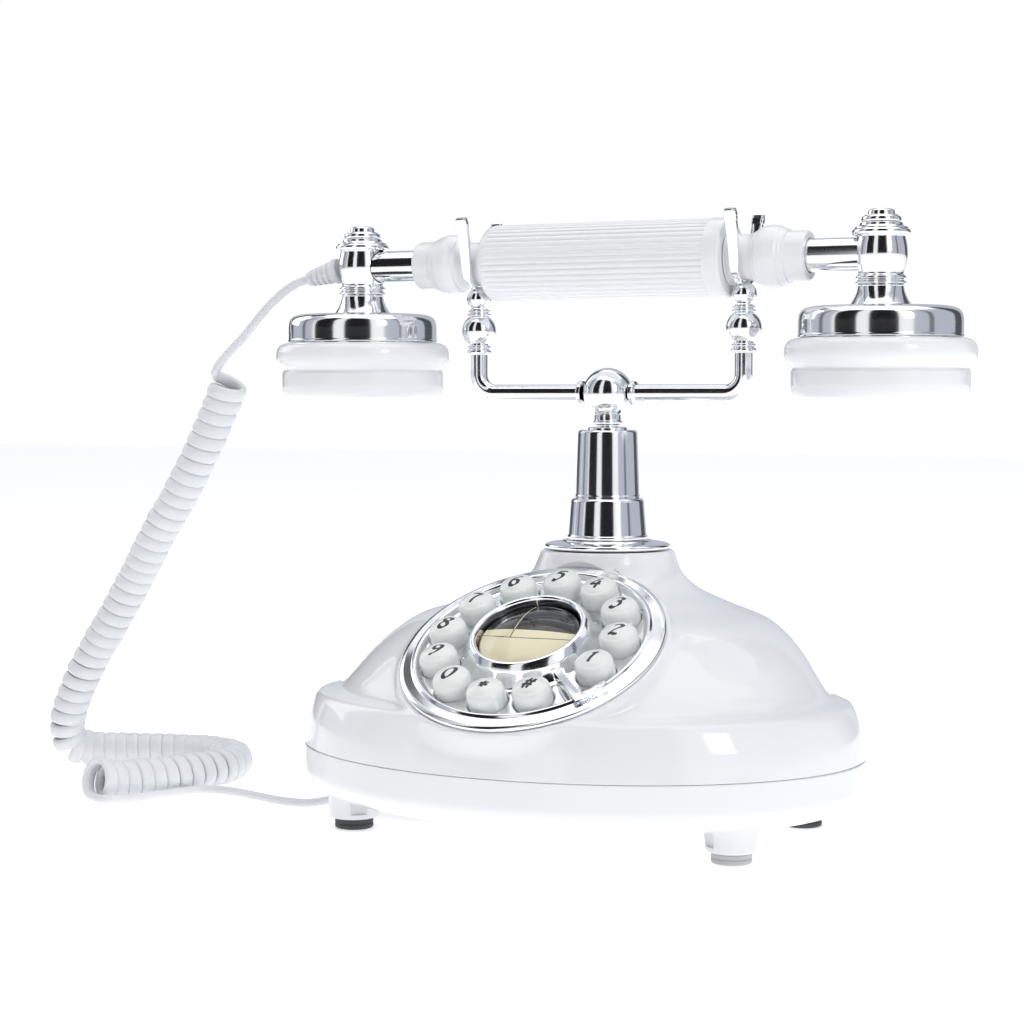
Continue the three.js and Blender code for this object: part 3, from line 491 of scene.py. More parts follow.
def moulding_group():
    """Unevenness of a moulded or plated skin: slow waves, a fine grain and a few short
    scratches, as one height."""
    def build(t, i):
        wave = t.node("ShaderNodeTexNoise", {"Vector": i["Vector"], "Scale": i["Wave scale"],
                                             "Detail": 1.5, "Roughness": 0.4}).outputs["Fac"]
        grain = t.node("ShaderNodeTexNoise", {"Vector": i["Vector"], "Scale": i["Grain scale"],
                                              "Detail": 2.0, "Roughness": 0.6}).outputs["Fac"]
        return {"Height": t.math("MULTIPLY_ADD", grain, i["Grain share"], wave)}
    return group("Moulded skin", [("Vector", "NodeSocketVector", None),
                                  ("Wave scale", "NodeSocketFloat", 30.0),
                                  ("Grain scale", "NodeSocketFloat", 900.0),
                                  ("Grain share", "NodeSocketFloat", 0.1)],
                 [("Height", "NodeSocketFloat")], build)


def handling_group():
    """Where hands have dulled a gloss: cloudy patches broken up by finer ones."""
    def build(t, i):
        cloud = t.node("ShaderNodeTexNoise", {"Vector": i["Vector"], "Scale": i["Scale"],
                                              "Detail": 4.0, "Roughness": 0.62}).outputs["Fac"]
        fine = t.node("ShaderNodeTexNoise", {"Vector": i["Vector"], "Scale": 420.0,
                                             "Detail": 2.0}).outputs["Fac"]
        both = t.math("MULTIPLY", t.ramp(cloud, 0.42, 0.72), t.ramp(fine, 0.3, 0.7, 0.5, 1.0))
        return {"Mask": both}
    return group("Handling marks", [("Vector", "NodeSocketVector", None),
                                    ("Scale", "NodeSocketFloat", 24.0)],
                 [("Mask", "NodeSocketFloat")], build)


def dust_group():
    """Dust that has settled on faces that look up, thicker in slow patches."""
    def build(t, i):
        up = t.node("ShaderNodeSeparateXYZ", {0: t.node("ShaderNodeNewGeometry").outputs["Normal"]})
        speck = t.node("ShaderNodeTexNoise", {"Vector": i["Vector"], "Scale": 140.0,
                                              "Detail": 5.0, "Roughness": 0.7}).outputs["Fac"]
        return {"Mask": t.math("MULTIPLY", t.ramp(up.outputs[2], 0.55, 1.0), t.ramp(speck, 0.45, 0.7))}
    return group("Settled dust", [("Vector", "NodeSocketVector", None)],
                 [("Mask", "NodeSocketFloat")], build)


# finish: colour property or colour, darker tone, roughness from and to, metallic, bump strength,
# wave scale, grain share, dust
FINISHES = {
    "gloss white": ("white", 0.975, 0.05, 0.10, 0, 0.02, 22, 0.02, 0.2),
    "cord white": ("cord_white", 0.94, 0.34, 0.48, 0, 0.10, 160, 0.12, 0.2),
    "chrome": ("chrome", 0.94, 0.012, 0.04, 1, 0.008, 30, 0.01, 0.12),
    "button white": ("button", 0.94, 0.06, 0.12, 0, 0.03, 60, 0.02, 0.2),
    "ink": ("ink", 0.8, 0.3, 0.42, 0, 0.05, 300, 0.3, 0.0),
    "dark rubber": ("rubber_dark", 0.7, 0.62, 0.8, 0, 0.3, 260, 0.5, 0.6),
    "pale rubber": ("rubber_light", 0.85, 0.5, 0.66, 0, 0.3, 260, 0.5, 0.5),
    "steel": ((0.50, 0.51, 0.53), 0.8, 0.24, 0.42, 1, 0.1, 200, 0.3, 0.2),
    "board green": ((0.03, 0.16, 0.07), 0.6, 0.3, 0.5, 0, 0.2, 240, 0.3, 0.3),
    "black plastic": ((0.018, 0.018, 0.02), 0.7, 0.3, 0.46, 0, 0.2, 300, 0.5, 0.5),
    "gold": ((0.85, 0.60, 0.22), 0.85, 0.14, 0.26, 1, 0.04, 200, 0.1, 0.1),
}


def finish(name):
    """Procedural material: a colour that darkens in slow patches and under dust, a roughness
    that handling marks raise, and a height that bends the normal."""
    if name in bpy.data.materials:
        return bpy.data.materials[name]
    key = "cream" if name == "redial cream" else None
    tone, darker, rough0, rough1, metallic, bump, wave, grain, dust = FINISHES[
        "button white" if key else name]
    if key or isinstance(tone, str):
        tone = tuple(getattr(bpy.context.scene.phone_finish, key or tone))
    material = bpy.data.materials.new(name)
    material.use_nodes = True
    material.node_tree.nodes.clear()
    t = Tree(material.node_tree)
    place = t.node("ShaderNodeTexCoord").outputs["Object"]
    skin_group = t.node("ShaderNodeGroup", node_tree=moulding_group())
    marks = t.node("ShaderNodeGroup", node_tree=handling_group())
    settled = t.node("ShaderNodeGroup", node_tree=dust_group())
    for g in (skin_group, marks, settled):
        t.tree.links.new(place, g.inputs["Vector"])
    skin_group.inputs["Wave scale"].default_value = wave
    skin_group.inputs["Grain share"].default_value = grain
    patches = t.node("ShaderNodeTexNoise", {"Vector": place, "Scale": 11.0, "Detail": 3.0}).outputs["Fac"]
    base = t.mix(t.ramp(patches, 0.35, 0.75), (*tone, 1), (*(c * darker for c in tone), 1))
    if key:
        base = redial_face(t, base)
    grey = (*(0.55 * c + 0.16 for c in tone), 1)
    base = t.mix(t.math("MULTIPLY", settled.outputs["Mask"], dust * 0.16), base, grey)
    bumped = t.node("ShaderNodeBump", {"Height": skin_group.outputs["Height"], "Strength": bump,
                                       "Distance": 0.0006 if metallic else 0.001})
    shader = t.node("ShaderNodeBsdfPrincipled", {
        "Base Color": base,
        "Roughness": t.mix_value(marks.outputs["Mask"], rough0, rough1),
        "Metallic": float(metallic),
        "Normal": bumped.outputs["Normal"],
    })
    out = t.node("ShaderNodeOutputMaterial")
    t.tree.links.new(shader.outputs[0], out.inputs["Surface"])
    return material


def redial_face(t, cream):
    """Face of the redial button in its own map, whose unit is 40 mm: a black upper sector
    above a sagging arc, a fine black arc below it, and one upright rule across both."""
    uv = t.node("ShaderNodeSeparateXYZ", {0: t.node("ShaderNodeUVMap", uv_map="map").outputs["UV"]})
    x = t.math("MULTIPLY_ADD", uv.outputs[0], 40.0, -20.0)
    y = t.math("MULTIPLY_ADD", uv.outputs[1], 40.0, -20.0)
    xx = t.math("MULTIPLY", x, x)
    edge = t.math("SUBTRACT", y, t.math("MULTIPLY_ADD", xx, 0.0145, -1.6))
    below = t.math("SUBTRACT", y, t.math("MULTIPLY_ADD", xx, 0.018, -5.2))
    black = t.ramp(edge, -0.06, 0.06)
    rule = t.math("MULTIPLY", t.band(x, -3.75, -3.45, 0.05), t.ramp(below, -0.05, 0.05))
    fine = t.band(below, -0.14, 0.14, 0.05)
    ink = t.math("MAXIMUM", fine, t.math("ABSOLUTE", t.math("SUBTRACT", black, rule)))
    return t.mix(ink, cream, (0.02, 0.02, 0.022, 1))


# ---------------------------------------------------------------- stage
class PHONE_PG_stage(bpy.types.PropertyGroup):
    lens: FloatProperty(name="Lens", description="Focal length on a 36 mm sensor", default=81.17,
                        unit="CAMERA", min=1)
    azimuth: FloatProperty(name="Azimuth", description="Camera's turn to the right of the dial side",
                           default=math.radians(25.86), subtype="ANGLE")
    pitch: FloatProperty(name="Pitch", description="Camera's tilt below level",
                         default=math.radians(3.01), subtype="ANGLE")
    stand: FloatVectorProperty(name="Stand", description="Where the camera stands",
                               default=(0.29552, -0.65760, 0.13692), subtype="TRANSLATION")
    sky: FloatProperty(name="Sky", description="Strength of the white surround", default=0.98, min=0)
    key: FloatProperty(name="Key", description="Power of the large overhead light", default=7.0,
                       unit="POWER", min=0)


SETTINGS["phone_stage"] = PHONE_PG_stage


def surround(strength, azimuth):
    """White surround with tall dark screens before and behind, which plated pieces mirror as
    upright bars; the screens are bands of azimuth, counted from the lens to the right, and
    of elevation."""
    world = bpy.data.worlds.new("Surround")
    bpy.context.scene.world = world
    world.use_nodes = True
    world.node_tree.nodes.clear()
    t = Tree(world.node_tree)
    d = t.node("ShaderNodeSeparateXYZ", {0: t.node("ShaderNodeTexCoord").outputs["Generated"]})
    x, y, z = d.outputs
    c, s = math.cos(azimuth), math.sin(azimuth)
    right = t.math("ADD", t.math("MULTIPLY", x, c), t.math("MULTIPLY", y, s))
    front = t.math("ADD", t.math("MULTIPLY", x, s), t.math("MULTIPLY", y, -c))
    turn = t.math("MULTIPLY", t.math("ARCTAN2", right, front), 180 / math.pi)
    rise = t.math("MULTIPLY", t.math("ARCSINE", z), 180 / math.pi)
    high = t.band(rise, -24.0, 62.0, 5.0)
    screens = t.math("ADD", t.band(turn, -76.0, -43.0, 0.7), t.band(turn, -25.0, 16.0, 0.7), clamp=True)
    behind = t.math("ADD", t.band(turn, 116.0, 142.0, 0.7), t.band(turn, -166.0, -134.0, 0.7), clamp=True)
    screens = t.math("ADD", screens, t.math("MULTIPLY", behind, 0.85), clamp=True)
    thin = t.math("ADD", t.band(turn, 62.0, 70.0, 1.2), t.band(turn, -104.0, -97.0, 1.2), clamp=True)
    side = t.math("MAXIMUM", t.ramp(turn, 34.0, 40.0), t.ramp(turn, -84.0, -78.0, 1.0, 0.0))
    tone = t.mix(t.math("MULTIPLY", side, t.band(rise, -30.0, 50.0, 12.0)), (1.0, 1.0, 1.0, 1),
                 (0.50, 0.535, 0.60, 1))
    tone = t.mix(t.math("MULTIPLY", thin, t.math("MULTIPLY", high, 0.75)), tone, (0.05, 0.05, 0.055, 1))
    tone = t.mix(t.math("MULTIPLY", screens, high), tone, (0.012, 0.012, 0.014, 1))
    lit = t.node("ShaderNodeBackground", {"Color": tone, "Strength": strength})
    plain = t.node("ShaderNodeBackground", {"Color": (1, 1, 1, 1), "Strength": 1.0})
    ray = t.node("ShaderNodeLightPath").outputs["Is Camera Ray"]
    both = t.node("ShaderNodeMixShader", {0: ray, 1: lit.outputs[0], 2: plain.outputs[0]})
    out = t.node("ShaderNodeOutputWorld")
    t.tree.links.new(both.outputs[0], out.inputs["Surface"])


def softbox(name, at, aim, size, power):
    """Rectangular light at a point, facing another."""
    light = bpy.data.lights.new(name, "AREA")
    light.shape, light.size, light.size_y, light.energy = "RECTANGLE", size[0], size[1], power
    obj = bpy.data.objects.new(name, light)
    bpy.context.scene.collection.objects.link(obj)
    obj.location = at
    obj.rotation_euler = (Vector(aim) - Vector(at)).to_track_quat("-Z", "Y").to_euler()


def build_stage():
    """Camera at the set stand, a pale floor, the surround and three softboxes."""
    scene = bpy.context.scene
    s = scene.phone_stage
    camera = bpy.data.objects.new("Camera", bpy.data.cameras.new("Camera"))
    scene.collection.objects.link(camera)
    camera.data.sensor_width, camera.data.lens = 36, s.lens
    camera.data.clip_start = 0.01
    camera.location = s.stand
    camera.rotation_euler = (math.radians(90) - s.pitch, 0, s.azimuth)
    scene.camera = camera
    scene.view_settings.view_transform = "Standard"
    surround(s.sky, s.azimuth)
    softbox("Overhead", (0, 0.1, 1.3), (0, 0, 0.05), (1.6, 1.4), s.key)
    softbox("Left", (-1.45, 0.35, 0.8), (0, 0, 0.08), (0.8, 1.0), s.key * 0.5)
    softbox("Right", (1.25, -0.75, 0.75), (0, 0, 0.08), (0.3, 0.7), s.key * 0.45)

    floor = bpy.data.objects.new("Floor", mesh_of("Floor", [block(-4000, 4000, -4000, 4000, -40, -0.05)]))
    scene.collection.objects.link(floor)
    pale = bpy.data.materials.new("pale floor")
    pale.use_nodes = True
    t = Tree(pale.node_tree)
    shader = pale.node_tree.nodes["Principled BSDF"]
    grain = t.node("ShaderNodeTexNoise", {"Vector": t.node("ShaderNodeTexCoord").outputs["Object"],
                                          "Scale": 6.0, "Detail": 3.0}).outputs["Fac"]
    t.tree.links.new(t.mix(grain, (0.93, 0.93, 0.94, 1), (0.95, 0.95, 0.955, 1)), shader.inputs["Base Color"])
    shader.inputs["Roughness"].default_value = 0.7
    shader.inputs["Emission Color"].default_value = (1, 1, 1, 1)
    shader.inputs["Emission Strength"].default_value = 0.45
    floor.data.materials.append(pale)
    floor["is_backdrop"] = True


# ---------------------------------------------------------------- cord
# Route of the cord from the stem axis: strain relief, plain lead, middle of the curls, tail.
BOOT_FOOT = np.array((-98.65, 0.0, 177.5))
BOOT_AXIS = unit(np.array((-0.975, 0.0, -0.222)))
BOOT_L = 12.6
# How far the cord runs on along its own way where the lead and the tail join the curls.
LEAD_PULL, CURL_PULL, END_PULL, TAIL_PULL = 17, 22, 12, 10
LEAD = [(-118.6, -0.4, 171.9), (-126.7, -1.2, 165.4), (-134.4, -2.6, 156.6), (-139.6, -3.8, 149.2)]
COIL = [(-139.8, -5, 139.4), (-145.5, -5, 127.5), (-151.3, -5, 116.4), (-162.2, -5, 98.2),
        (-168.9, -5, 88.5), (-178.5, -5, 72.5), (-188.7, -5, 56.6), (-198.7, -5, 42),
        (-206.4, -4.6, 28.5), (-211, -3.6, 17), (-211.6, -0.4, 9.8), (-207.4, 4, 7),
        (-199.5, 7.5, 6.5), (-190, 10.5, 6.5), (-179, 13.5, 6.5), (-168, 15.8, 6.5),
        (-157.5, 15, 6.5), (-149, 10.3, 6.5), (-144.3, 1.8, 6.5), (-143.5, -8, 6.5),
        (-145.5, -17, 6.5), (-149.5, -27, 6.5), (-155, -37, 6.5), (-160.5, -46.5, 6.9),
        (-163.5, -52.5, 7.9)]
TAIL = [(-155, -54.5, 1.8), (-151, -49, 1.5), (-147.4, -40, 1.4), (-144.5, -31.5, 1.4),
        (-140.2, -25, 1.4), (-134, -22.6, 1.4), (-126, -23.6, 1.4), (-113.3, -28, 1.4),
        (-100, -31.8, 1.4), (-90, -33.2, 2.2), (-81, -31.4, 4.6), (-73, -30.4, 8.6),
        (-67, -30, 12), (-61.8, -30, 13.3)]


def hermite(p0, d0, p1, d1, count):
    """Cubic from p0, leaving along d0, to p1, arriving along d1, without its two ends."""
    t = np.linspace(0, 1, count + 2)[1:-1, None]
    return ((2 * t ** 3 - 3 * t ** 2 + 1) * p0 + (t ** 3 - 2 * t ** 2 + t) * d0
            + (3 * t ** 2 - 2 * t ** 3) * p1 + (t ** 3 - t ** 2) * d1)


def curls(middle, radius, turns):
    """Helix round a line: middle + radius (cos a u + sin a v), where u and v ride the line
    without twist, a grows evenly but for slow waves, and the last curl opens a little."""
    _, u, v = carried_frame(middle, (0, -1, 0))
    s = np.linspace(0, 1, len(middle))
    down = math.atan2(-v[-1, 2], -u[-1, 2])
    left = math.atan2(-v[0, 0], -u[0, 0])
    span = 2 * math.pi * turns
    span += (down - left - span) % (2 * math.pi)
    share = np.linspace(0, 1, int(turns * 24))
    a = down - span * (1 - share)
    slack = 0.0030 * np.sin(2 * np.pi * 2.3 * share) + 0.0011 * np.sin(2 * np.pi * 9.1 * share + 1.0)
    along = np.clip(share + slack * np.sin(np.pi * share), 0, 1)
    pick = lambda w: np.stack([np.interp(along, s, w[:, k]) for k in range(3)], -1)
    c, u, v = pick(middle), unit(pick(u)), unit(pick(v))
    last = np.clip((share - 1 + 1.4 / turns) * turns / 1.2, 0, 1)
    r = (radius + 0.08 * np.sin(2 * np.pi * 17.3 * share) + 0.8 * last * last * (3 - 2 * last))[:, None]
    out = np.cos(a)[:, None] * u + np.sin(a)[:, None] * v
    return c + r * out, out


def build_cord():
    """Cord as one tube along one path: the round lead, the flattened curls and the round tail
    share their rings, and the section runs from a circle to an oval where they meet."""
    k = sizes("phone_cord")
    start = BOOT_FOOT + BOOT_AXIS * (BOOT_L - 1.2)
    lead = smooth_line([start, BOOT_FOOT + BOOT_AXIS * (BOOT_L + 3), *LEAD[:-1]], 40)
    middle = smooth_line(COIL, 1200)
    helix, out = curls(middle, k.curl_radius, k.curls)
    go = lambda line: line[-1] - line[-2]
    first = helix[1] - helix[0]
    joint1 = hermite(lead[-1], unit(go(lead)) * LEAD_PULL, helix[0], unit(first) * CURL_PULL, 30)
    tail = smooth_line(TAIL, 84)
    away = tail[1] - tail[0]
    joint2 = hermite(helix[-1], unit(go(helix)) * END_PULL, tail[0], unit(away) * TAIL_PULL, 16)
    path = np.vstack([lead, joint1, helix, joint2, tail])
    t = tangents(path)
    n = np.zeros_like(path)
    a, b = len(lead) + len(joint1), len(lead) + len(joint1) + len(helix)
    n[a:b] = out
    n[a:b] -= t[a:b] * np.einsum("ij,ij->i", n[a:b], t[a:b])[:, None]
    n[:a] = carried_frame(path[:a + 1][::-1], n[a])[1][::-1][:a]
    n[b:] = carried_frame(path[b - 1:], n[b - 1])[1][1:]
    n = unit(n)
    # share of flattening: 0 on the round ends, 1 in the curls
    i = np.arange(len(path))
    flat = np.clip((i - a + 14) / 26, 0, 1) * np.clip((b + 14 - i) / 26, 0, 1)
    flat = (flat * flat * (3 - 2 * flat))
    half_n = k.wire / 2 + (k.flat_thickness - k.wire) / 2 * flat
    half_b = k.wire / 2 + (k.flat_width - k.wire) / 2 * flat
    ring = oval(half_n, half_b, 14, 2.5)
    shell = swept(path, n, np.cross(t, n), ring)
    cord = piece("curly_cord", [shell], ["cord white"], None,
                 ("cord_upper_lead", "cord_coil", "cord_tail"), sharp=70)
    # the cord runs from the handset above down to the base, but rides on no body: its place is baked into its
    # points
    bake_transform(cord)
    plug = build_plug()

    # strain relief: a tapered sleeve with a collar at its foot and slots cut through its side
    sleeve = [(0, 0, 0), (3.9, 0, 0.4), (4.25, 0.5, 0.4), (4.25, 1.9, 0.4), (3.75, 2.3, 0.3)]
    for q in range(4):
        z = 3.1 + q * 2.15
        r = 3.75 - q * 0.27
        sleeve += [(r, z, 0.1), (r - 0.55, z + 0.1, 0.1), (r - 0.6, z + 0.75, 0.1), (r - 0.1, z + 0.85, 0.1)]
    sleeve += [(2.6, BOOT_L - 0.9, 0.4), (2.35, BOOT_L, 0.3), (0, BOOT_L, 0)]
    side = np.cross((0, 1, 0), BOOT_AXIS)
    turn = np.stack([side, (0, 1, 0), BOOT_AXIS], -1)
    piece("strain_relief", [moved(turned(sleeve, 64), turn, BOOT_FOOT)], ["cord white"], "handset",
          ("cord_boot",))


def build_plug():
    """Modular plug: a slab with a stepped nose, a sprung latch under it and four contacts."""
    x0, x1, y, z = -61.5, -47.7, -30.0, 13.3
    shells = [block(x0 + 0.1, x1 - 0.1, y - 3.2, y + 3.2, z - 2.4, z + 2.4)]
    latch = prism([(x0 + 1.0, z - 2.5), (x1 - 1.5, z - 2.5), (x1 - 1.8, z - 2.9), (x0 + 1.4, z - 3.1)],
                  -1.1, 1.1)
    shells.append(moved(latch, np.array([[1, 0, 0], [0, 0, -1], [0, 1, 0]], float), (0, y, 0)))
    shells += [(block(x1 - 4, x1 - 0.05, y + o - 0.25, y + o + 0.25, z + 1.9, z + 2.45), 1)
               for o in (-1.8, -0.6, 0.6, 1.8)]
    return piece("handset_plug", shells, ["cord white", "gold"], "base", ("cord_plug",),
                 ease=0.18)


# ---------------------------------------------------------------- body
def monotone(x, xp, yp):
    """Monotone cubic through a table: tangents are harmonic means of the two slopes."""
    h = np.diff(xp)
    d = np.diff(yp) / h
    m = np.concatenate([[d[0]], np.where(d[:-1] * d[1:] <= 0, 0,
                                         2 * d[:-1] * d[1:] / (d[:-1] + d[1:] + 1e-12)), [d[-1]]])
    x = np.clip(x, xp[0], xp[-1])
    i = np.clip(np.searchsorted(xp, x, side="right") - 1, 0, len(h) - 1)
    t = (x - xp[i]) / h[i]
    return ((1 + 2 * t) * (1 - t) ** 2 * yp[i] + t * (1 - t) ** 2 * h[i] * m[i]
            + t * t * (3 - 2 * t) * yp[i + 1] + t * t * (t - 1) * h[i] * m[i + 1])


def smooth_max(a, b, k):
    """Greater of two values, eased over k where they cross."""
    h = np.maximum(k - np.abs(a - b), 0) / k
    return np.maximum(a, b) + h * h * k / 4


def smooth_min(a, b, k):
    return -smooth_max(-a, -b, k)


def to_oval(c, s, start, a, b, mid):
    """Distance from (0, start) along (c, s) to the oval of half axes a and b about (0, mid)."""
    qa = (c / a) ** 2 + (s / b) ** 2
    qb = s * (mid - start) / b ** 2
    d = qb * qb - qa * (((mid - start) / b) ** 2 - 1)
    return np.where(d < 0, 0, (qb + np.sqrt(np.maximum(d, 0))) / qa)


def body_rings(z, columns, inset=0.0):
    """Rings of the upper housing: an oval dome held under the dial's plane and joined by a soft
    blend to the tilted round podium.  Each ring is a distance from a spine, by direction."""
    s = sizes("phone_body")
    d = sizes("phone_dial")
    w, dp, nr = s.half_width, s.half_depth, s.neck_radius
    le, sh = s.ledge, s.shoulder
    table = np.array([
        (s.seam, w, dp, BODY_Y), (33, w - 0.8, dp - 0.8, BODY_Y), (38, w - 2.4, dp - 2.2, BODY_Y),
        (le, w - 4.6, dp - 3.8, BODY_Y), (le + 2.2, w - 11.5, dp - 8.5, -20.5),
        (le + 6.5, w - 15.4, dp - 11, -19), (54.5, w - 20.5, dp - 15, -16.5),
        (sh, w - 27.1, dp - 20, -13.5), (sh + 4.6, w - 34, dp - 25, -11),
        (sh + 9, nr + 20, nr + 14, -6), (sh + 13, nr + 9, nr + 7, -3),
        (79, nr + 2.2, nr + 1.8, -0.6), (84, nr, nr, 0), (s.neck_top, nr - 0.8, nr - 0.8, 0)])
    sin_t, cos_t = math.sin(d.tilt), math.cos(d.tilt)
    podium_r = d.radius + 1.2
    zs = (z + inset)[:, None]
    a = (np.arange(columns) + 0.5) * 2 * np.pi / columns
    c, si = np.cos(a)[None], np.sin(a)[None]
    spine = np.where(zs < 78, -20, np.maximum(-20, -20 + 1.5 * (zs - 78)))
    plane_y = DIAL_Y + ((zs - DIAL_Z) * cos_t - SEAT_W) / sin_t
    podium_y = DIAL_Y - (zs - DIAL_Z) * sin_t / cos_t
    f = np.clip((zs - s.seam - 0.5) / 10.5, 0, 1)
    fade = f * f * (3 - 2 * f)
    at = [monotone(zs, table[:, 0], table[:, k]) for k in (1, 2, 3)]
    r = to_oval(c, si, spine, *at)
    inside = plane_y < spine
    plane = np.where((si < 0) & inside, (plane_y - spine) / np.minimum(si, -1e-4),
                     np.where(si < 0, 0.0, 1e6))
    held = smooth_min(r, plane + 0.6 * np.maximum(0, zs - 72) ** 1.5, 6)
    r = np.where((si < 0) & inside, held, r)
    edge = to_oval(c, si, spine, podium_r, podium_r / cos_t, podium_y)
    podium = np.where(np.minimum(plane, edge) > 0, smooth_min(plane, edge, 1.6), 0)
    k = np.maximum(5 * fade, 1e-3)
    r = np.where((podium > 0) & (podium < 200) & (fade > 0), smooth_max(r, podium, k), r)
    r = r - inset
    return np.stack([r * c, spine + r * si, np.broadcast_to(z[:, None], r.shape)], -1)


def build_upper_housing():
    """Closed shell: the outer rings up to the neck, in over its top to the stem's hole, and
    down the inner wall; then the podium is cut for the dial."""
    s, d = sizes("phone_body"), sizes("phone_dial")
    columns = 336
    seam = s.seam + 0.06
    z = np.concatenate([np.linspace(seam + 0.35, s.ledge - 2, 14, endpoint=False),
                        np.linspace(s.ledge - 2, s.ledge + 3, 26, endpoint=False),
                        np.linspace(s.ledge + 3, s.shoulder - 4, 20, endpoint=False),
                        np.linspace(s.shoulder - 4, 78, 34, endpoint=False),
                        np.linspace(78, s.neck_top - 0.5, 12)])
    outer = body_rings(z, columns)
    low = outer[:1].copy()
    low[..., 2] = seam
    low = np.array((0, -20, 0)) + (low - (0, -20, 0)) * (1 - 0.35 / 75, 1 - 0.35 / 75, 1)
    zi = np.concatenate([np.linspace(seam, 54, 12, endpoint=False), np.linspace(54, s.neck_top - s.wall, 16)])
    inner = body_rings(zi, columns, s.wall)
    a = (np.arange(columns) + 0.5) * 2 * np.pi / columns

    def stem_ring(r, height):
        far = to_oval(np.cos(a), np.sin(a), -8.0, r, r, 0.0)
        return np.stack([far * np.cos(a), -8 + far * np.sin(a), np.full(columns, float(height))], -1)[None]
    top = [stem_ring(s.neck_radius - 1.3, s.neck_top), stem_ring(8.9, s.neck_top),
           stem_ring(8.9, s.neck_top - s.wall)]
    shell = skin(np.concatenate([low, outer, *top, inner[::-1]]), rows_closed=True)
    step = turned([(0, -11.5, 0), (d.bore, -11.5, 0), (d.bore, SEAT_W + 0.02, 0),
                   (d.radius + 0.35, SEAT_W + 0.02, 0), (d.radius + 0.35, 45, 0), (0, 45, 0)], 192)
    piece("upper_shell", [shell], ["gloss white"], "base", ("upper_housing",),
          sharp=32, cuts=[on_dial(step)])


def build_lower_housing():
    """Oval tray with a quarter-oval bottom edge, foot posts, screw wells, a pocket for the
    handset jack and a notch for the line jack."""
    s = sizes("phone_body")
    edge_w, edge_h = 15, 9
    seam = s.seam - 0.06

    def ring(z, inset):
        drop = np.clip((s.underside + edge_h - (z - inset)) / edge_h, 0, 1)
        shrink = edge_w * (1 - np.sqrt(np.maximum(0, 1 - drop ** 2))) + inset
        a = (np.arange(240) + 0.5) * 2 * np.pi / 240
        return np.stack([(s.half_width - shrink)[:, None] * np.cos(a),
                         BODY_Y + (s.half_depth - shrink)[:, None] * np.sin(a),
                         np.broadcast_to(z[:, None], (len(z), 240))], -1)
    t = np.linspace(0, 1, 18)
    z = np.concatenate([s.underside + edge_h * (1 - np.cos(t * np.pi / 2)), [seam - 0.3]])
    outer = ring(z, 0.0)
    lip = ring(np.array([seam]), 0.0)
    lip[..., :2] = np.array((0, BODY_Y)) + (lip[..., :2] - (0, BODY_Y)) * (1 - 0.3 / 80)
    zi = np.concatenate([[seam], s.underside + s.wall + edge_h * (1 - np.cos(t[::-1] * np.pi / 2))])
    inner = ring(zi, s.wall)
    grid = np.concatenate([outer, lip, inner])
    shell = skin(grid, poles=((0, BODY_Y, s.underside), (0, BODY_Y, s.underside + s.wall)))
    feet = [(x, BODY_Y + y) for x in (-63, 63) for y in (-32, 32)]
    screws = [(x, BODY_Y + y) for x in (-56, 56) for y in (-40, 40)]
    post = turned([(0, 3.3, 0), (s.foot_radius - 0.9, 3.3, 0), (s.foot_radius - 0.2, 3.6, 0.2),
                   (s.foot_radius, 4.4, 0.4), (s.foot_radius + 0.5, 12.6, 0), (0, 12.6, 0)], 64)
    boss = turned([(0, 11, 0), (5, 11, 0), (5, seam, 0), (0, seam, 0)], 40)
    x0, x1, y0, y1, z1 = POCKET
    joins = [moved(post, at=(x, y, 0)) for x, y in feet] + [moved(boss, at=(x, y, 0)) for x, y in screws]
    joins.append(block(x0 + 6, x1 + 2, y0 - 2, y1 + 2, 10, z1 + 2))
    well = turned([(0, 5, 0), (4.2, 5, 0), (4.2, 8.9, 0), (3.6, 9.6, 0), (3.6, 15, 0), (1.7, 15, 0),
                   (1.7, 29, 0), (0, 29, 0)], 40)
    stud = turned([(0, 1, 0), (2.1, 1, 0), (2.1, 7.3, 0), (0, 7.3, 0)], 32)
    back = BODY_Y + s.half_depth
    cuts = [moved(well, at=(x, y, 0)) for x, y in screws] + [moved(stud, at=(x, y, 0)) for x, y in feet]
    cuts += [block(x0, x1, y0, y1, 6, z1), block(-7, 7, back - 15.3, back + 7.4, 14.3, 28)]
    piece("lower_shell", [shell], ["gloss white"], "base", ("lower_housing",),
          sharp=32, joins=joins, cuts=cuts)


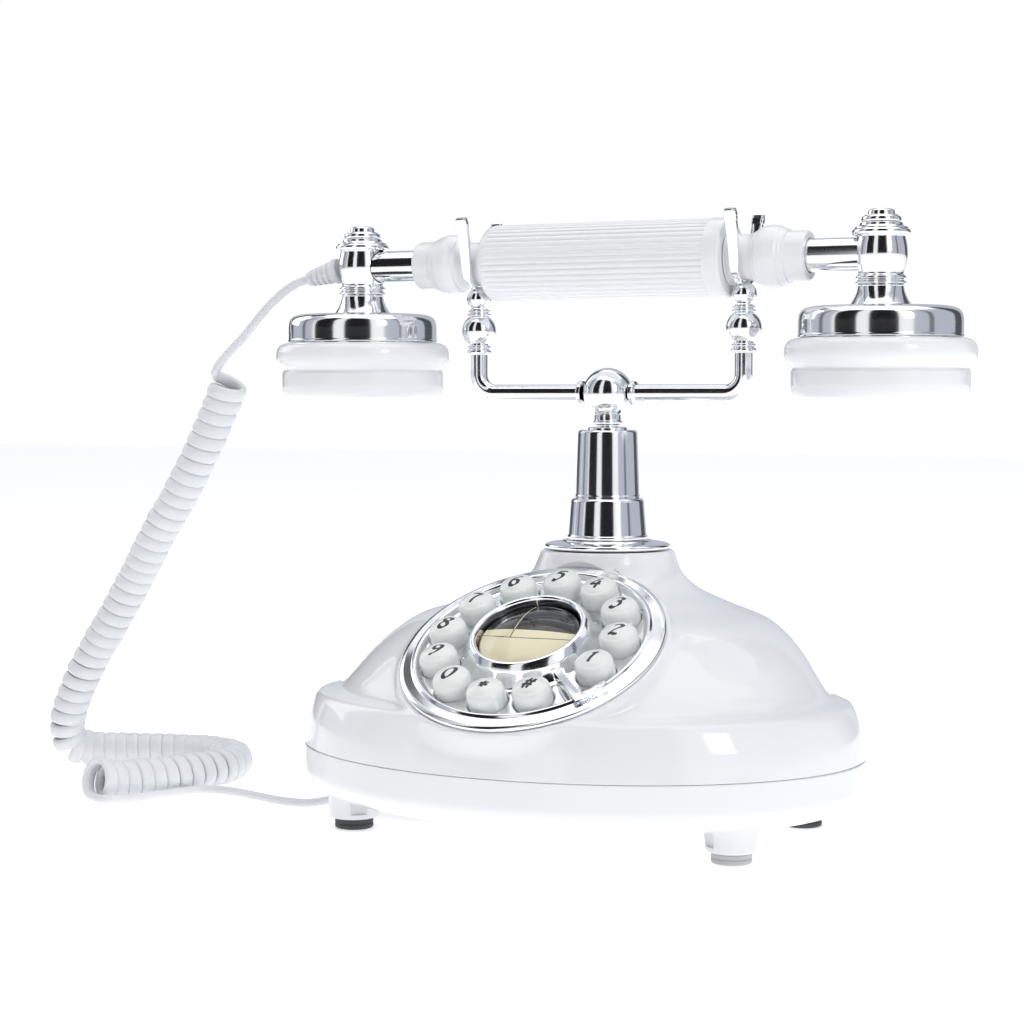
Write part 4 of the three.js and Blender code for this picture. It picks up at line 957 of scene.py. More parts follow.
def build_feet():
    """Ribbed rubber pads, each with its stud; three dark and one pale."""
    s = sizes("phone_body")
    r = s.pad_radius
    pad = [(0, 0.02, 0), (r - 1.3, 0.02, 0), (r - 0.7, 0.0, 0.1), (r - 0.25, 0.15, 0.2), (r, 0.6, 0.2),
           (r, 1.35, 0.1), (r - 0.3, 1.5, 0.1), (r - 0.3, 1.75, 0.1), (r, 1.9, 0.1), (r, 2.8, 0.2),
           (r - 0.15, 3.0, 0.1), (1.5, 3.0, 0.1), (1.5, 6.3, 0.2), (0, 6.3, 0)]
    spots = [(x, BODY_Y + y) for x in (-63, 63) for y in (-32, 32)]
    for k, (x, y) in enumerate(spots, 1):
        pale = k == 3
        piece(f"pad_{k}", [moved(turned(pad, 64), at=(x, y, 0))], ["pale rubber" if pale else "dark rubber"],
              "base", (f"foot_pad_{k}",))
    head = [(0, 12.6, 0), (2.3, 12.6, 0.3), (3.05, 12.9, 0.3), (3.2, 13.3, 0.1), (3.2, 14.7, 0.1),
            (1.4, 14.7, 0), (1.4, 32.4, 0.1), (0, 33, 0)]
    for k, (x, y) in enumerate([(x, BODY_Y + y) for x in (-56, 56) for y in (-40, 40)], 1):
        slots = [block(x - a, x + a, y - b, y + b, 12, 13.7) for a, b in ((1.9, 0.35), (0.35, 1.9))]
        piece(f"screw_{k}", [moved(turned(head, 48), at=(x, y, 0))], ["steel"], "base",
              (f"base_screw_{k}",), cuts=slots)


def build_jacks():
    """Modular sockets: a bevelled block with a stepped mouth, a latch slot and gold springs."""
    s = sizes("phone_body")

    def socket(name, replaces, turn, at, w, depth, h, hole_w, hole_h, hole_d, contacts):
        mid = h / 2
        lift = lambda shell: moved(shell, turn, at)
        cuts = [lift(block(-hole_w / 2, hole_w / 2, depth - hole_d, depth + 4,
                           mid - hole_h / 2, mid + hole_h / 2)),
                lift(block(-1.6, 1.6, depth - hole_d + 3, depth + 4, mid - hole_h / 2 - 0.7, mid))]
        piece(name, [lift(block(-w / 2, w / 2, 0.05, depth, 0, h))], ["black plastic"], "base",
              (replaces,), cuts=cuts, ease=0.15)
        pins = [lift(block(o - 0.22, o + 0.22, depth - hole_d + 0.6, depth - 2.2, mid + hole_h / 2 - 0.75,
                           mid + hole_h / 2 - 0.3)) for o in contacts]
        piece(name + "_contacts", pins, ["gold"], "base")
    back = BODY_Y + s.half_depth
    socket("line_socket", "line_jack", None, (0, back - 15, 14.6), 13.4, 13.4, 9.6, 9.8, 6.8, 11,
           (-2.55, -1.53, -0.51, 0.51, 1.53, 2.55))
    socket("handset_socket", "handset_jack", rot_z(math.pi / 2), (POCKET[1] - GAP, -30, 9.4), 11.4, 12,
           7.8, 7.2, 5.6, 8.5, (-1.8, -0.6, 0.6, 1.8))


def finish_inner_parts():
    """Finishes on the plain pieces that stay inside the housings and the capsules."""
    looks = {"ballast_plate": "steel", "main_circuit_board": "board green",
             "keypad_circuit_board": "board green", "keypad_mat": "dark rubber",
             "ringer_speaker": "black plastic", "hook_switch": "black plastic",
             "hook_spring": "steel", "microphone_capsule": "black plastic",
             "receiver_capsule": "black plastic"}
    for node, look in looks.items():
        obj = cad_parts[node]
        obj.data.materials.clear()
        obj.data.materials.append(finish(look))


# ---------------------------------------------------------------- dial
def build_dial_plate():
    """Turned plate: a flat rim, a raised bead, the channel of the buttons, a cove up to the
    centre ring and a skirt under the podium, with twelve holes through the channel."""
    d = sizes("phone_dial")
    rr, rw, R, sk = d.ring_radius, d.ring_height, d.radius, d.bore - GAP
    under = FLOOR_W - PLATE_T
    line = [(rr - 0.7, under, 0.1), (rr - 0.7, rw - 1.0, 0.1), (rr - 0.5, rw - 0.4, 0.2), (rr, rw, 0.25),
            (rr + 0.9, rw, 0.5), (rr + 1.7, rw - 1.0, 0.4), (rr + 2.5, rw - 2.2, 0.5),
            (rr + 3.3, rw - 4.1, 0.8), (rr + 4.9, FLOOR_W, 1.0), (34.5, FLOOR_W, 0.5),
            (35.2, 0.7, 0.35), (35.7, 1.15, 0.25), (36.3, 1.15, 0.25), (37.0, 0.4, 0.35),
            (39.7, 0.15, 0.5), (R - 0.15, -0.35, 0.3), (R, -0.9, 0.15), (R, SEAT_W + GAP, 0.1),
            (sk, SEAT_W + GAP, 0.1), (sk, -9.5, 0.1), (sk - 1.7, -9.5, 0.1), (sk - 1.7, under, 0.1)]
    angles = BUTTON_FIRST + np.arange(12) * BUTTON_STEP
    hole = turned([(0, under - 2, 0), (d.button_radius + 0.22, under - 2, 0),
                   (d.button_radius + 0.22, FLOOR_W - 0.35, 0.1), (d.button_radius + 0.75, FLOOR_W + 0.05, 0.1),
                   (d.button_radius + 0.75, 3.0, 0), (0, 3.0, 0)], 48)
    cuts = [on_dial(moved(hole, at=(d.button_circle * math.cos(a), d.button_circle * math.sin(a), 0)))
            for a in angles]
    line.append(line[0])
    piece("dial_disc", [on_dial(turned(line, 192))], ["chrome"], "base", ("dial_plate",),
          sharp=40, cuts=cuts)


def build_finger_stop():
    """Bar from the centre ring to the rim with a low curved lip along the rim."""
    outline = rounded([(30, FLOOR_W + GAP, 0), (22.05, FLOOR_W + GAP, 0.1), (22.05, 2.4, 0.3), (22.6, 3.1, 0.5),
                       (37.1, 3.1, 0.6), (38, 2.7, 0.4), (38, 1.5, 0.1), (34.3, 1.5, 0.15),
                       (34.3, FLOOR_W + GAP, 0.1), (30, FLOOR_W + GAP, 0)])[:-1]
    bar = moved(prism(outline, -1.1, 1.1), np.array([[1, 0, 0], [0, 0, -1], [0, 1, 0]], float))
    bar = moved(bar, rot_z(STOP_ANGLE))
    a = np.linspace(STOP_ANGLE - math.radians(1.2), STOP_ANGLE + math.radians(15), 24)
    lip = np.concatenate([np.stack([37.95 * np.cos(a), 37.95 * np.sin(a)], -1),
                          np.stack([36.5 * np.cos(a[::-1]), 36.5 * np.sin(a[::-1])], -1)])
    piece("stop_bar", [on_dial(bar)], ["chrome"], "base", ("finger_stop",),
          ease=0.28, joins=[on_dial(prism(lip, 1.5, 2.55))], sharp=50)


# Numerals as pen strokes: points from the middle of the button, in tenths of the figure's
# height, across and up.
PEN = {
    "1": [[(-1.6, 3.0), (-0.3, 4.0), (0.6, 5.0), (0.5, 2.5), (0.2, -1.0), (0.0, -5.0)]],
    "2": [[(-2.6, 3.2), (-1.4, 4.7), (0.6, 5.0), (2.3, 3.9), (2.2, 1.8), (0.6, -0.6), (-1.4, -3.0),
           (-2.8, -4.6)], [(-2.8, -4.6), (-0.6, -4.3), (1.4, -4.7), (3.0, -4.4)]],
    "3": [[(-2.3, 3.6), (-0.8, 4.9), (1.4, 4.7), (2.3, 3.2), (1.2, 1.3), (-0.4, 0.5)],
          [(-0.4, 0.5), (1.5, 0.4), (2.6, -1.4), (2.0, -3.7), (0.0, -5.0), (-1.9, -4.6), (-2.7, -3.4)]],
    "4": [[(1.2, 5.0), (-0.6, 2.6), (-2.9, -1.2), (-0.4, -1.4), (3.1, -1.2)],
          [(1.5, 2.0), (1.2, -1.2), (0.8, -5.0)]],
    "5": [[(2.6, 4.8), (0.6, 4.7), (-1.3, 4.8)], [(-1.3, 4.8), (-1.7, 2.9), (-2.0, 1.0)],
          [(-2.0, 1.0), (0.0, 1.6), (2.0, 0.5), (2.5, -1.7), (1.2, -4.0), (-0.9, -5.0), (-2.6, -4.2)]],
    "6": [[(2.0, 4.9), (-0.4, 3.4), (-2.1, 0.8), (-2.5, -2.0), (-1.2, -4.6), (0.9, -4.9), (2.5, -3.0),
           (2.0, -0.6), (0.2, 0.4), (-1.7, -0.7), (-2.4, -2.2)]],
    "7": [[(-2.5, 3.6), (-1.7, 4.7), (0.6, 4.4), (3.0, 4.8)], [(3.0, 4.8), (1.5, 2.0), (0.2, -1.4), (-0.5, -5.0)]],
    "8": [[(0.3, 0.5), (-1.9, 2.0), (-1.7, 4.2), (0.4, 5.0), (2.2, 3.9), (1.9, 2.0), (0.2, 0.4), (-2.1, -1.2),
           (-2.6, -3.3), (-0.9, -5.0), (1.4, -4.7), (2.5, -2.9), (1.9, -0.9), (0.3, 0.5)]],
    "9": [[(2.2, 2.6), (1.2, 4.7), (-0.7, 4.9), (-2.3, 3.2), (-2.0, 0.9), (-0.3, 0.0), (1.6, 1.1), (2.3, 3.0)],
          [(2.3, 3.2), (2.3, 0.6), (1.5, -2.2), (-0.3, -4.2), (-2.0, -5.0)]],
    "0": [[(0.4, 5.0), (-1.7, 3.8), (-2.9, 0.6), (-2.5, -3.0), (-0.6, -5.0), (1.5, -4.2), (2.8, -1.0),
           (2.5, 2.8), (0.9, 4.8), (0.2, 5.0)]],
    "star": [[(0.1, 3.4), (0.0, 0.6), (-0.1, -2.4)], [(-2.9, 1.6), (0.0, 0.5), (2.9, -0.6)],
             [(-2.4, -1.6), (0.0, 0.5), (2.6, 2.6)]],
    "hash": [[(-0.4, 4.6), (-1.1, 0.0), (-1.8, -4.6)], [(2.2, 4.6), (1.5, 0.0), (0.8, -4.6)],
             [(-3.0, 1.5), (0.2, 1.6), (3.4, 1.5)], [(-3.4, -1.7), (-0.2, -1.6), (3.0, -1.7)]],
}


def pen_stroke(points, scale, nib, surface):
    """Flat ribbon of a broad nib: the line is widened by a slanted nib and by a little all
    round, then laid on the surface, whose height is a function of the place."""
    line = smooth_line([(x * scale + 0.22 * y * scale, y * scale, 0) for x, y in points], 7 * len(points))
    t = tangents(line)
    side = np.stack([-t[:, 1], t[:, 0], 0 * t[:, 0]], -1)
    slant = np.array((math.cos(math.radians(38)), math.sin(math.radians(38)), 0))
    across = np.abs(side @ slant)[:, None]
    half = side * (0.19 + nib / 2 * across)
    left, right = line + half, line - half
    lay = lambda p, lift: np.stack([p[:, 0], p[:, 1], surface(p[:, 0], p[:, 1]) + lift], -1)
    return skin(np.stack([lay(left, 0.035), lay(right, 0.035), lay(right, -0.12), lay(left, -0.12)], 1))


def build_buttons():
    """Twelve domed buttons with a hidden flange; each carries its numeral as a pen stroke."""
    d = sizes("phone_dial")
    R, top = d.button_radius, d.button_top
    flange = FLOOR_W - PLATE_T - GAP
    # dome: a soft shoulder up to a spherical cap
    dome_r = 8.2
    t = np.linspace(0, 1, 12)
    cap_r = R - 1.5
    centre = top - dome_r
    edge_z = centre + math.sqrt(dome_r ** 2 - cap_r ** 2)
    bend = np.linspace(0, math.pi / 2, 12)
    shoulder = [(cap_r + 1.5 * math.cos(q), 2.2 + (edge_z - 2.2) * math.sin(q)) for q in bend[:-1]]
    cap = [(cap_r * (1 - q), centre + math.sqrt(dome_r ** 2 - (cap_r * (1 - q)) ** 2)) for q in t]
    line = [(0, -4.4), (3, -4.4), (3, flange - 1), (R + 0.8, flange - 1), (R + 0.8, flange), (R, flange),
            (R, 0.5)] + shoulder + cap
    dome = lambda x, y: centre + np.sqrt(np.maximum(dome_r ** 2 - x * x - y * y, 1))
    names = ["1", "2", "3", "4", "5", "6", "7", "8", "9", "0", "star", "hash"]
    for k, name in enumerate(names):
        a = BUTTON_FIRST + k * BUTTON_STEP
        at = (d.button_circle * math.cos(a), d.button_circle * math.sin(a), 0)
        shells = [(on_dial(moved(turned(line, 64, ease=0), at=at)), 0)]
        shells += [(on_dial(moved(pen_stroke(p, 0.49, d.pen, dome), at=at)), 1) for p in PEN[name]]
        piece(f"key_cap_{name}", shells, ["button white", "ink"], f"key_{name}",
              (f"button_{name}",), sharp=45)


def build_redial():
    """Large domed button in the centre ring, with its face painted through its own map."""
    d = sizes("phone_dial")
    r = d.ring_radius - 0.7 - RUN - 0.15
    flange = FLOOR_W - PLATE_T - GAP
    t = np.linspace(0, 1, 22)
    dome_r = 34.0
    centre = 6.4 - dome_r
    rim_r = r - 1.3
    edge = centre + math.sqrt(dome_r ** 2 - rim_r ** 2)
    bend = np.linspace(0, math.pi / 2, 10)[:-1]
    line = [(0, -4.4), (4, -4.4), (4, flange - 1), (r + 0.9, flange - 1), (r + 0.9, flange), (r, flange)]
    line += [(rim_r + 1.3 * math.cos(q), edge - 1.3 + 1.3 * math.sin(q)) for q in bend]
    line += [(rim_r * (1 - q), centre + math.sqrt(dome_r ** 2 - (rim_r * (1 - q)) ** 2)) for q in t]

    def face(v):
        back = (v - (0, DIAL_Y, DIAL_Z)) @ rot_x(d.tilt)
        return back[:, :2] / 40 + 0.5
    piece("redial_dome", [on_dial(turned(line, 128, ease=0))], ["redial cream"], "key_redial",
          ("redial_button",), sharp=45, uv=face)


# ---------------------------------------------------------------- stem and cradle
def build_stem():
    """Plated flange on the neck, and the column: a tapered sleeve with a cone above it."""
    s, b = sizes("phone_stem"), sizes("phone_body")
    z = b.neck_top
    flange = [(8.9, z + GAP, 0), (19.4, z + GAP, 0), (20.1, z + 0.6, 0.25), (20.2, z + 1.3, 0.25),
              (19.9, z + 1.9, 0.25), (18.6, z + 2.35, 0.4), (14.6, z + 2.7, 0.4), (14.3, z + 3.2, 0.15),
              (8.9, z + 3.2, 0), (8.9, z + GAP, 0)]
    piece("stem_collar", [turned(flange, 128)], ["chrome"], "base", ("stem_flange",))
    foot = z + 3.5
    r0, r1, mid = s.sleeve_radius, s.sleeve_radius - 1.27, 102.4
    c0, c1, top = s.cone_radius, s.cone_radius - 0.96, s.top
    column = [(7, z - 8, 0), (8.6, z - 8, 0), (8.6, foot, 0), (r0, foot, 0.15), (r0, foot + 0.9, 0.25),
              (r0 - 0.35, foot + 1.3, 0.2), (r1, mid - 0.7, 0.3), (r1 - 0.5, mid, 0.25), (c0, mid, 0.1),
              (c0, mid + 0.9, 0.2), (c0 - 0.2, mid + 1.2, 0.2), (c1, top - 0.6, 0.3), (c1 - 0.5, top, 0.25),
              (6.3, top, 0.1), (6.2, top + 0.8, 0.25), (5.6, top + 1, 0.2), (3.55, top + 1, 0.1),
              (3.55, top - 8, 0), (7, top - 8, 0), (7, z - 8, 0)]
    piece("stem_cone", [turned(column, 128)], ["chrome"], "base", ("stem_column",))


def build_plunger_and_rods():
    """Plunger with its ball and a small neck ring, and the two bent rods that leave the ball."""
    s = sizes("phone_stem")
    z, r, p = s.rod_height, s.ball_radius, 3.3
    neck = math.degrees(math.acos(4.2 / r))
    line = [(0, 29, 0), (2.9, 29, 0.3), (3.0, 60, 0), (6.3, 60, 0.1), (6.3, 61.5, 0.2), (p, 61.5, 0),
            (p, s.top + 1.6, 0.1), (4.6, s.top + 1.9, 0.2), (4.7, s.top + 2.7, 0.3),
            (4.2, s.top + 3.2, 0.2)] + arc(r, z, -neck, 86, 40) + [(0, z + r, 0)]
    piece("cradle_ball", [turned(line, 96)], ["chrome"], "cradle", ("cradle_plunger",), sharp=50)
    fork_x, bend, rod_top = 46.1, 6.0, 148.6
    q = np.linspace(0, math.pi / 2, 24)
    middle = np.concatenate([[(r + GAP, 0, z)],
                             np.stack([fork_x - bend + bend * np.sin(q), 0 * q, z + bend - bend * np.cos(q)], -1),
                             [(fork_x, 0, rod_top)]])
    t = tangents(middle)
    t[0], t[-1] = (1, 0, 0), (0, 0, 1)
    n = np.stack([-t[:, 2], 0 * t[:, 0], t[:, 0]], -1)
    shoulder = turned([(0, r + GAP, 0), (3.9, r + GAP, 0.2), (3.9, r + 1.6, 0.4), (2.7, r + 2.2, 0.2),
                       (2.7, r + 2.6, 0), (0, r + 2.6, 0)], 48)
    for side, sx in (("left", -1), ("right", 1)):
        flip = np.diag((sx, 1.0, 1.0))
        rod = swept(middle, n, np.cross(t, n), oval(np.full(len(middle), s.rod_radius),
                                                    np.full(len(middle), s.rod_radius), 32))
        shells = []
        for v, quads, tris in (rod, moved(shoulder, ALONG_X, (0, 0, z))):
            shells.append(outward(v @ flip.T, quads, tris))
        piece(f"rod_{side}", shells, ["chrome"], "cradle", (f"cradle_rod_{side}",), sharp=45)


def build_forks():
    """Fork: a turned foot of two balls with paired rings between them, and two flat prongs that
    narrow to a leaf at the ball and lean out to squared, chamfered tips, with fine grooves."""
    h = sizes("phone_handset")
    crotch = h.axis - 7.15 - GAP
    small_r, big_r = 4.0, 5.54
    small, big = crotch - small_r, crotch - small_r - 10.35
    foot = [(0, 148.9, 0), (3.75, 148.9, 0.2), (3.95, 149.5, 0.3), (3.75, 150.1, 0.2), (3.2, 150.2, 0.1),
            (3.2, 150.6, 0.1), (3.6, 150.8, 0.15), (3.6, 151.4, 0.2), (2.9, 151.7, 0.1)]
    foot += arc(big_r, big, -56, 56, 26)
    foot += [(3.45, big + 4.75, 0.1), (3.75, big + 5.05, 0.15), (3.75, big + 5.5, 0.15), (3.0, big + 5.75, 0.15),
             (3.0, big + 6.0, 0.15), (3.55, big + 6.25, 0.15), (3.55, big + 6.65, 0.15), (2.7, big + 6.95, 0.1)]
    foot += arc(small_r, small, -47, 84, 24) + [(0, crotch, 0)]
    clear = 7.15 + 0.9 + 1.1
    path = smooth_line([(0, 1.2, crotch - 1.3), (0, 4.4, crotch + 0.1), (0, clear - 1.1, h.axis - 4.6),
                        (0, clear, h.axis), (0, clear + 0.9, h.axis + 4.5), (0, clear + 2.3, h.axis + 9.5),
                        (0, clear + 4, h.axis + 14.2)], 64)
    t = tangents(path)
    n = np.stack([0 * t[:, 0], t[:, 2], -t[:, 1]], -1)       # outward face of the prong
    u = np.linspace(0, 1, 64)
    width = np.interp(u, (0, 0.10, 0.24, 0.38, 0.86, 0.93, 1.0), (1.2, 1.9, 2.5, 3.3, 3.7, 4.1, 3.9))
    thick = np.interp(u, (0, 0.15, 0.35, 0.9, 1.0), (1.6, 2.0, 2.2, 2.2, 1.9))
    ring = oval(thick / 2, width / 2, 48, 5.0)
    # two grooves along both broad faces, fading at the leaf and at the tip
    across = ring[..., 1] / (width[:, None] / 2)
    groove = 0.16 * np.exp(-((np.abs(across) - 0.42) / 0.16) ** 2)
    fade = np.interp(u, (0, 0.28, 0.36, 0.84, 0.88, 1), (0, 0, 1, 1, 0, 0))[:, None]
    ring[..., 0] -= np.sign(ring[..., 0]) * groove * fade * (np.abs(ring[..., 0]) > 0.3 * thick[:, None])
    # raised bars across the foot of the tip
    bars = np.exp(-((u - 0.885) / 0.012) ** 2) + np.exp(-((u - 0.93) / 0.012) ** 2)
    ring *= (1 + 0.07 * bars)[:, None, None]
    ring[-1] *= 0.82
    arm = swept(path, n, np.cross(t, n), ring)
    for side, sx in (("left", -1), ("right", 1)):
        at = (sx * 46.1, 0, 0)
        arms = [outward(arm[0] * (1, m, 1) + at, arm[1], arm[2]) for m in (-1.0, 1.0)]
        piece(f"fork_{side}", [moved(turned(foot, 72), at=at)], ["chrome"], "cradle",
              (f"cradle_fork_{side}",), sharp=48, joins=arms)


# ---------------------------------------------------------------- handset
def build_bar():
    """Chrome tube, the fluted grip and the two turned spindles."""
    h = sizes("phone_handset")
    z = h.axis
    end = h.head_spread - 3
    tube = [(h.tube_radius - 1.2, -end, 0), (h.tube_radius, -end, 0), (h.tube_radius, end, 0),
            (h.tube_radius - 1.2, end, 0), (h.tube_radius - 1.2, -end, 0)]
    piece("bar_tube", [moved(turned(tube, 64), ALONG_X, (0, 0, z))], ["chrome"], "handset",
          ("handset_tube",))

    # grip: radius over length and angle; narrow lands between shallow flutes
    g, bore = h.grip_half, h.tube_radius + RUN
    x = np.concatenate([-g + 3.4 * (1 - np.cos(np.linspace(0, np.pi / 2, 12))),
                        np.linspace(-g + 3.6, g - 6.2, 24), np.linspace(g - 6.1, g - 5.3, 8),
                        g - 0.9 * (1 - np.sin(np.linspace(0, np.pi / 2, 8)))])
    m = h.flutes * 10
    a = np.arange(m) * 2 * np.pi / m
    left = np.clip((x + g) / 3.4, 0, 1)
    base = h.grip_radius - 2.9 * (1 - np.sqrt(1 - (1 - left) ** 2))
    right = np.clip((g - x) / 0.9, 0, 1)
    base = base - 0.85 * (1 - np.sqrt(1 - (1 - right) ** 2))
    on = np.clip((x + g - 1.6) / 2.2, 0, 1) * np.clip((g - 5.4 - x) / 0.5, 0, 1)
    wave = np.abs(np.cos(h.flutes * a / 2)) ** 0.55
    r = base[:, None] - h.flute_depth * on[:, None] * (1 - wave)[None]
    outer = np.stack([np.broadcast_to(x[:, None], r.shape), r * np.cos(a), r * np.sin(a)], -1)
    flat = lambda q, xx: np.stack([np.full(m, float(xx)), q * np.cos(a), q * np.sin(a)], -1)[None]
    grid = np.concatenate([outer, flat(bore, g), flat(bore, -g)])
    piece("fluted_grip", [moved(skin(grid, rows_closed=True), at=(0, 0, z))], ["gloss white"], "handset",
          ("grip",), sharp=50)

    c = [(bore, g + GAP, 0), (8.6, g + GAP, 0.1), (8.3, g + 0.7, 0.2), (7.3, g + 1.2, 0.4), (7.15, g + 2.6, 0.5),
         (7.15, g + 6.6, 0.8), (7.6, g + 8.2, 0.8), (8.3, g + 9.3, 0.4), (8.35, g + 9.9, 0.2), (9.1, g + 10.3, 0.3),
         (9.75, g + 12.6, 1.0), (9.8, g + 14.6, 1.0), (9.3, g + 16.8, 0.8), (8.75, g + 17.5, 0.3),
         (8.75, g + 18.1, 0.3), (8.35, g + 18.6, 0.3), (8.35, g + 19.2, 0.2), (7.75, g + 19.6, 0.2),
         (7.75, g + 25.2, 0.3), (7.35, g + 25.7, 0.2), (bore, g + 25.7, 0), (bore, g + GAP, 0)]
    for side, turn in (("left", rot_z(math.pi)), ("right", np.eye(3))):
        piece(f"spindle_{side}", [moved(turned(c, 96), turn @ ALONG_X, (0, 0, z))], ["gloss white"],
              "handset", (f"collar_{side}",), sharp=45)


def build_heads():
    """Turned head on each end of the tube, with its stepped finial."""
    h = sizes("phone_handset")
    z, top = h.axis, 9.3
    head = [(0, -21.3, 0), (3, -21.3, 0), (3, -15.4, 0), (9.3, -15.4, 0.1), (9.0, -15.0, 0.3),
            (8.0, -13.4, 1.0), (7.15, -11.4, 1.2), (6.9, -9.9, 0.6), (7.0, -9.55, 0.1), (7.7, -9.2, 0.3),
            (7.75, -8.6, 0.3), (7.1, -8.3, 0.15), (7.1, -7.9, 0.15), (7.7, -7.5, 0.25), (7.5, -6.8, 0.3),
            (6.75, -6.2, 0.4), (6.9, -5.0, 0.8), (7.6, -2.8, 1.2), (8.1, -0.2, 1.8), (7.75, 3.0, 1.4),
            (7.3, 4.9, 0.6), (7.35, 5.3, 0.15), (8.6, 5.6, 0.3), (8.95, 6.3, 0.4), (8.75, 7.1, 0.3),
            (8.2, 7.4, 0.2), (8.1, 7.9, 0.15), (6.7, 8.3, 0.3), (6.4, top, 0.2), (0, top, 0)]
    f = top + GAP
    finial = [(0, f - 3.6, 0), (2.5, f - 3.6, 0), (2.5, f, 0), (5.95, f, 0.15), (6.05, f + 0.8, 0.3),
              (5.85, f + 1.5, 0.25), (5.2, f + 1.7, 0.15), (5.1, f + 2.0, 0.1), (4.1, f + 2.05, 0.1),
              (4.0, f + 3.4, 0.3), (3.1, f + 3.9, 0.4), (0, f + 4.0, 0)]
    for side, sx in (("left", -1), ("right", 1)):
        at = (sx * h.head_spread, 0, z)
        hole = turned([(0, -20, 0), (5.4, -20, 0), (5.4, -2.7, 0), (0, -2.7, 0)], 48)
        hole = moved(hole, (rot_z(0) if sx > 0 else rot_z(math.pi)) @ ALONG_X, at)
        well = moved(turned([(0, top - 4, 0), (2.8, top - 4, 0), (2.8, top + 2, 0), (0, top + 2, 0)], 32), at=at)
        piece(f"end_head_{side}", [moved(turned(head, 96), at=at)], ["chrome"], "handset",
              (f"head_{side}",), cuts=[hole, well], sharp=45)
        piece(f"end_finial_{side}", [moved(turned(finial, 72), at=at)], ["chrome"], "handset",
              (f"finial_{side}",), sharp=45)


def build_caps():
    """Chrome bell over each capsule and the white cap below it, grooved and pierced for sound."""
    h = sizes("phone_handset")
    top, seam, groove, low = -15.7, -25.3, -34.4, -44.1
    b, rim, cup = h.bell_radius, h.rim_radius, h.cup_radius
    s = seam + GAP / 2
    bell = [(3.25, top, 0), (9.6, top, 0.1), (b - 4.0, top - 0.15, 1.2), (b - 1.5, top - 0.9, 1.0),
            (b - 0.35, top - 2.2, 0.9), (b, top - 4.2, 0.8), (b, s + 0.9, 0.2), (b + 0.15, s + 0.6, 0.1),
            (b + 0.15, s, 0.1), (20.6, s, 0), (20.6, s - 3, 0), (19, s - 3, 0), (19, top - 3, 0.5),
            (18, top - 1.6, 0.4), (3.25, top - 1.6, 0), (3.25, top, 0)]
    hi = seam - GAP / 2
    cap = [(0, low, 0), (cup - 3.4, low, 0.5), (cup - 1.4, low + 0.45, 0.8), (cup - 0.35, low + 1.9, 0.9),
           (cup, low + 4.2, 0.8), (cup, groove - 1.1, 0.3), (cup - 0.55, groove - 0.35, 0.35),
           (cup - 0.25, groove + 0.2, 0.3), (rim - 1.6, groove + 0.9, 0.8), (rim - 0.35, groove + 2.5, 1.0),
           (rim, groove + 4.5, 1.0), (rim - 0.25, hi - 2.4, 0.9), (rim - 1.3, hi - 0.8, 0.8),
           (rim - 3.2, hi - 0.05, 0.5), (20.9, hi, 0), (20.9, hi - 2, 0), (cup - 3, hi - 4, 0),
           (cup - 3, low + 2.2, 0), (0, low + 2.2, 0)]
    for side, sx, name, node in (("left", -1, "mouth_cap", "mouthpiece_cap"),
                                 ("right", 1, "ear_cap", "earpiece_cap")):
        at = (sx * h.head_spread, 0, h.axis)
        piece(f"bell_{side}", [moved(turned(bell, 128), at=at)], ["chrome"], "handset",
              (f"bell_cap_{side}",), sharp=45)
        spots = [(0.0, 0.0)] + [(8 * math.cos(k * math.pi / 3), 8 * math.sin(k * math.pi / 3))
                                for k in range(6)]
        if sx > 0:
            spots += [(15 * math.cos(k * math.pi / 4), 15 * math.sin(k * math.pi / 4)) for k in range(8)]
        drill = turned([(0, low - 2, 0), (1.75, low - 2, 0), (1.75, low - 0.05, 0), (1.4, low + 0.3, 0),
                        (1.4, low + 4, 0), (0, low + 4, 0)], 24)
        cuts = [moved(drill, at=(at[0] + x, y, h.axis)) for x, y in spots]
        piece(name, [moved(turned(cap, 160), at=at)], ["gloss white"], "handset", (node,),
              cuts=cuts, sharp=45)


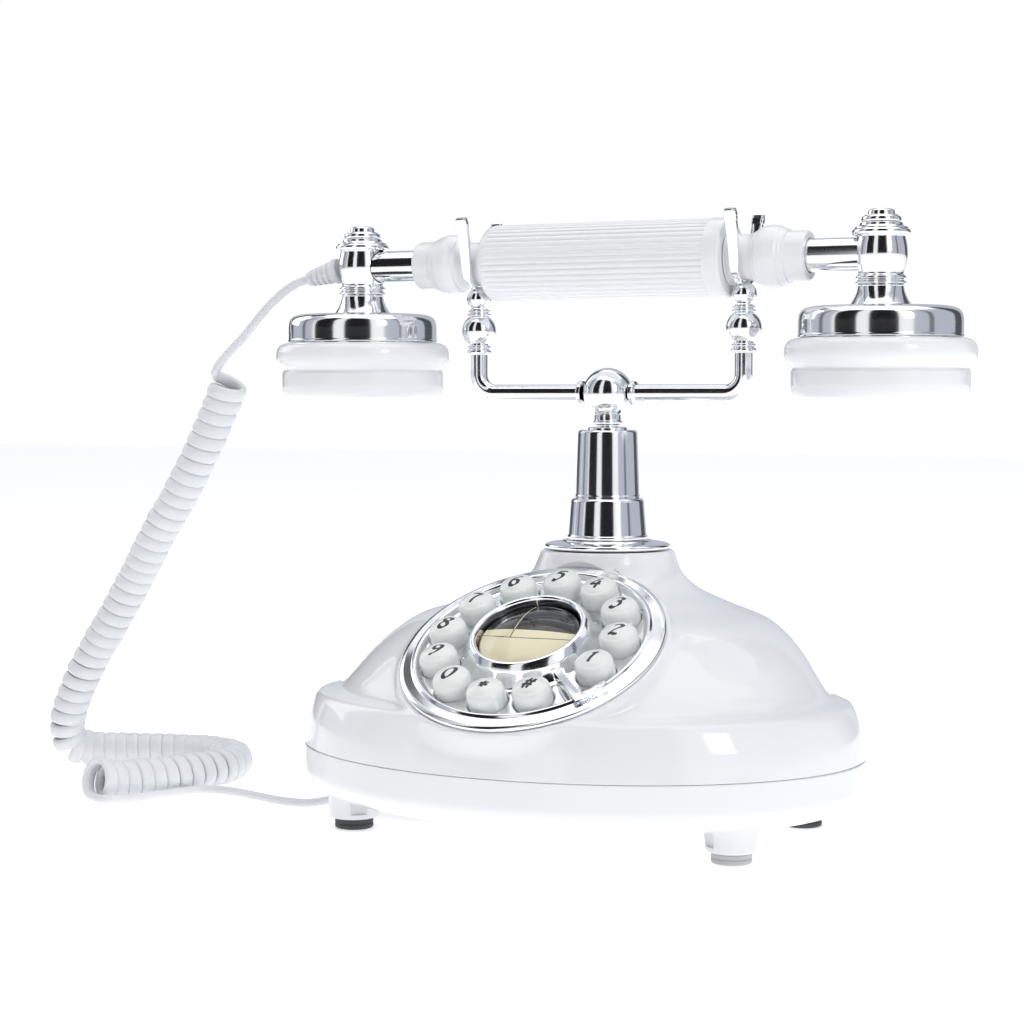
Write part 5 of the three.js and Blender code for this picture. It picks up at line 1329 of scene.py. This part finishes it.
# ---------------------------------------------------------------- operators and panel
STEPS = [("stage", "Stage", "Camera, floor, surround and softboxes", build_stage),
         ("cord", "Curly cord", "Curly cord, its plug and the strain relief", build_cord),
         ("lower_housing", "Lower housing", "Oval tray with its posts, wells and pocket", build_lower_housing),
         ("upper_housing", "Upper housing", "Domed shell with the dial's podium", build_upper_housing),
         ("feet", "Feet and screws", "Rubber pads and the screws under the body", build_feet),
         ("jacks", "Sockets", "Line and handset sockets", build_jacks),
         ("inner_parts", "Inner parts", "Finishes on boards, switch, ringer and capsules", finish_inner_parts),
         ("dial_plate", "Dial plate", "Turned plate with its twelve holes", build_dial_plate),
         ("finger_stop", "Finger stop", "Bar between the last two buttons", build_finger_stop),
         ("buttons", "Buttons", "Twelve domed push buttons with numerals", build_buttons),
         ("redial", "Redial button", "Large domed button in the centre ring", build_redial),
         ("stem", "Stem", "Flange, sleeve and cone", build_stem),
         ("rods", "Plunger and rods", "Ball, plunger and the two bent rods", build_plunger_and_rods),
         ("forks", "Forks", "Two turned forks that hold the handset", build_forks),
         ("bar", "Handset bar", "Tube, fluted grip and spindles", build_bar),
         ("heads", "Heads", "Turned heads and finials", build_heads),
         ("caps", "Bells and caps", "Chrome bells and white caps", build_caps)]


def operator(name, label, text, build):
    """Operator class that runs one build function."""
    def execute(self, context):
        build()
        return {"FINISHED"}
    return type(f"PHONE_OT_{name}", (bpy.types.Operator,), {
        "bl_idname": f"phone.{name}", "bl_label": label, "__doc__": text, "execute": execute})


OPERATORS = [operator(*step) for step in STEPS]


class PHONE_PT_panel(bpy.types.Panel):
    """Sizes, colours and the steps that build the telephone."""
    bl_label = "Cradle Telephone"
    bl_idname = "PHONE_PT_panel"
    bl_space_type = "VIEW_3D"
    bl_region_type = "UI"
    bl_category = "Telephone"

    def draw(self, context):
        for name, kind in SETTINGS.items():
            box = self.layout.box()
            box.label(text=name.split("_")[1].capitalize())
            for prop in kind.__annotations__:
                box.prop(getattr(context.scene, name), prop)
        for step in STEPS:
            self.layout.operator(f"phone.{step[0]}")


CLASSES = [*SETTINGS.values(), *OPERATORS, PHONE_PT_panel]


def register():
    for c in CLASSES:
        bpy.utils.register_class(c)
    for name, kind in SETTINGS.items():
        setattr(bpy.types.Scene, name, PointerProperty(type=kind))


def unregister():
    for name in SETTINGS:
        delattr(bpy.types.Scene, name)
    for c in reversed(CLASSES):
        bpy.utils.unregister_class(c)


def main():
    """Builds every piece in order and writes both boxes."""
    register()
    for step in STEPS:
        if getattr(bpy.ops.phone, step[0])() != {"FINISHED"}:
            raise RuntimeError(f"{step[1]} did not finish")
    corners = lambda box: [[float(x) for x in c] for c in box]
    {"cad": corners(CAD_BOX), "visual": corners(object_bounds())}


if __name__ == "__main__":
    main()
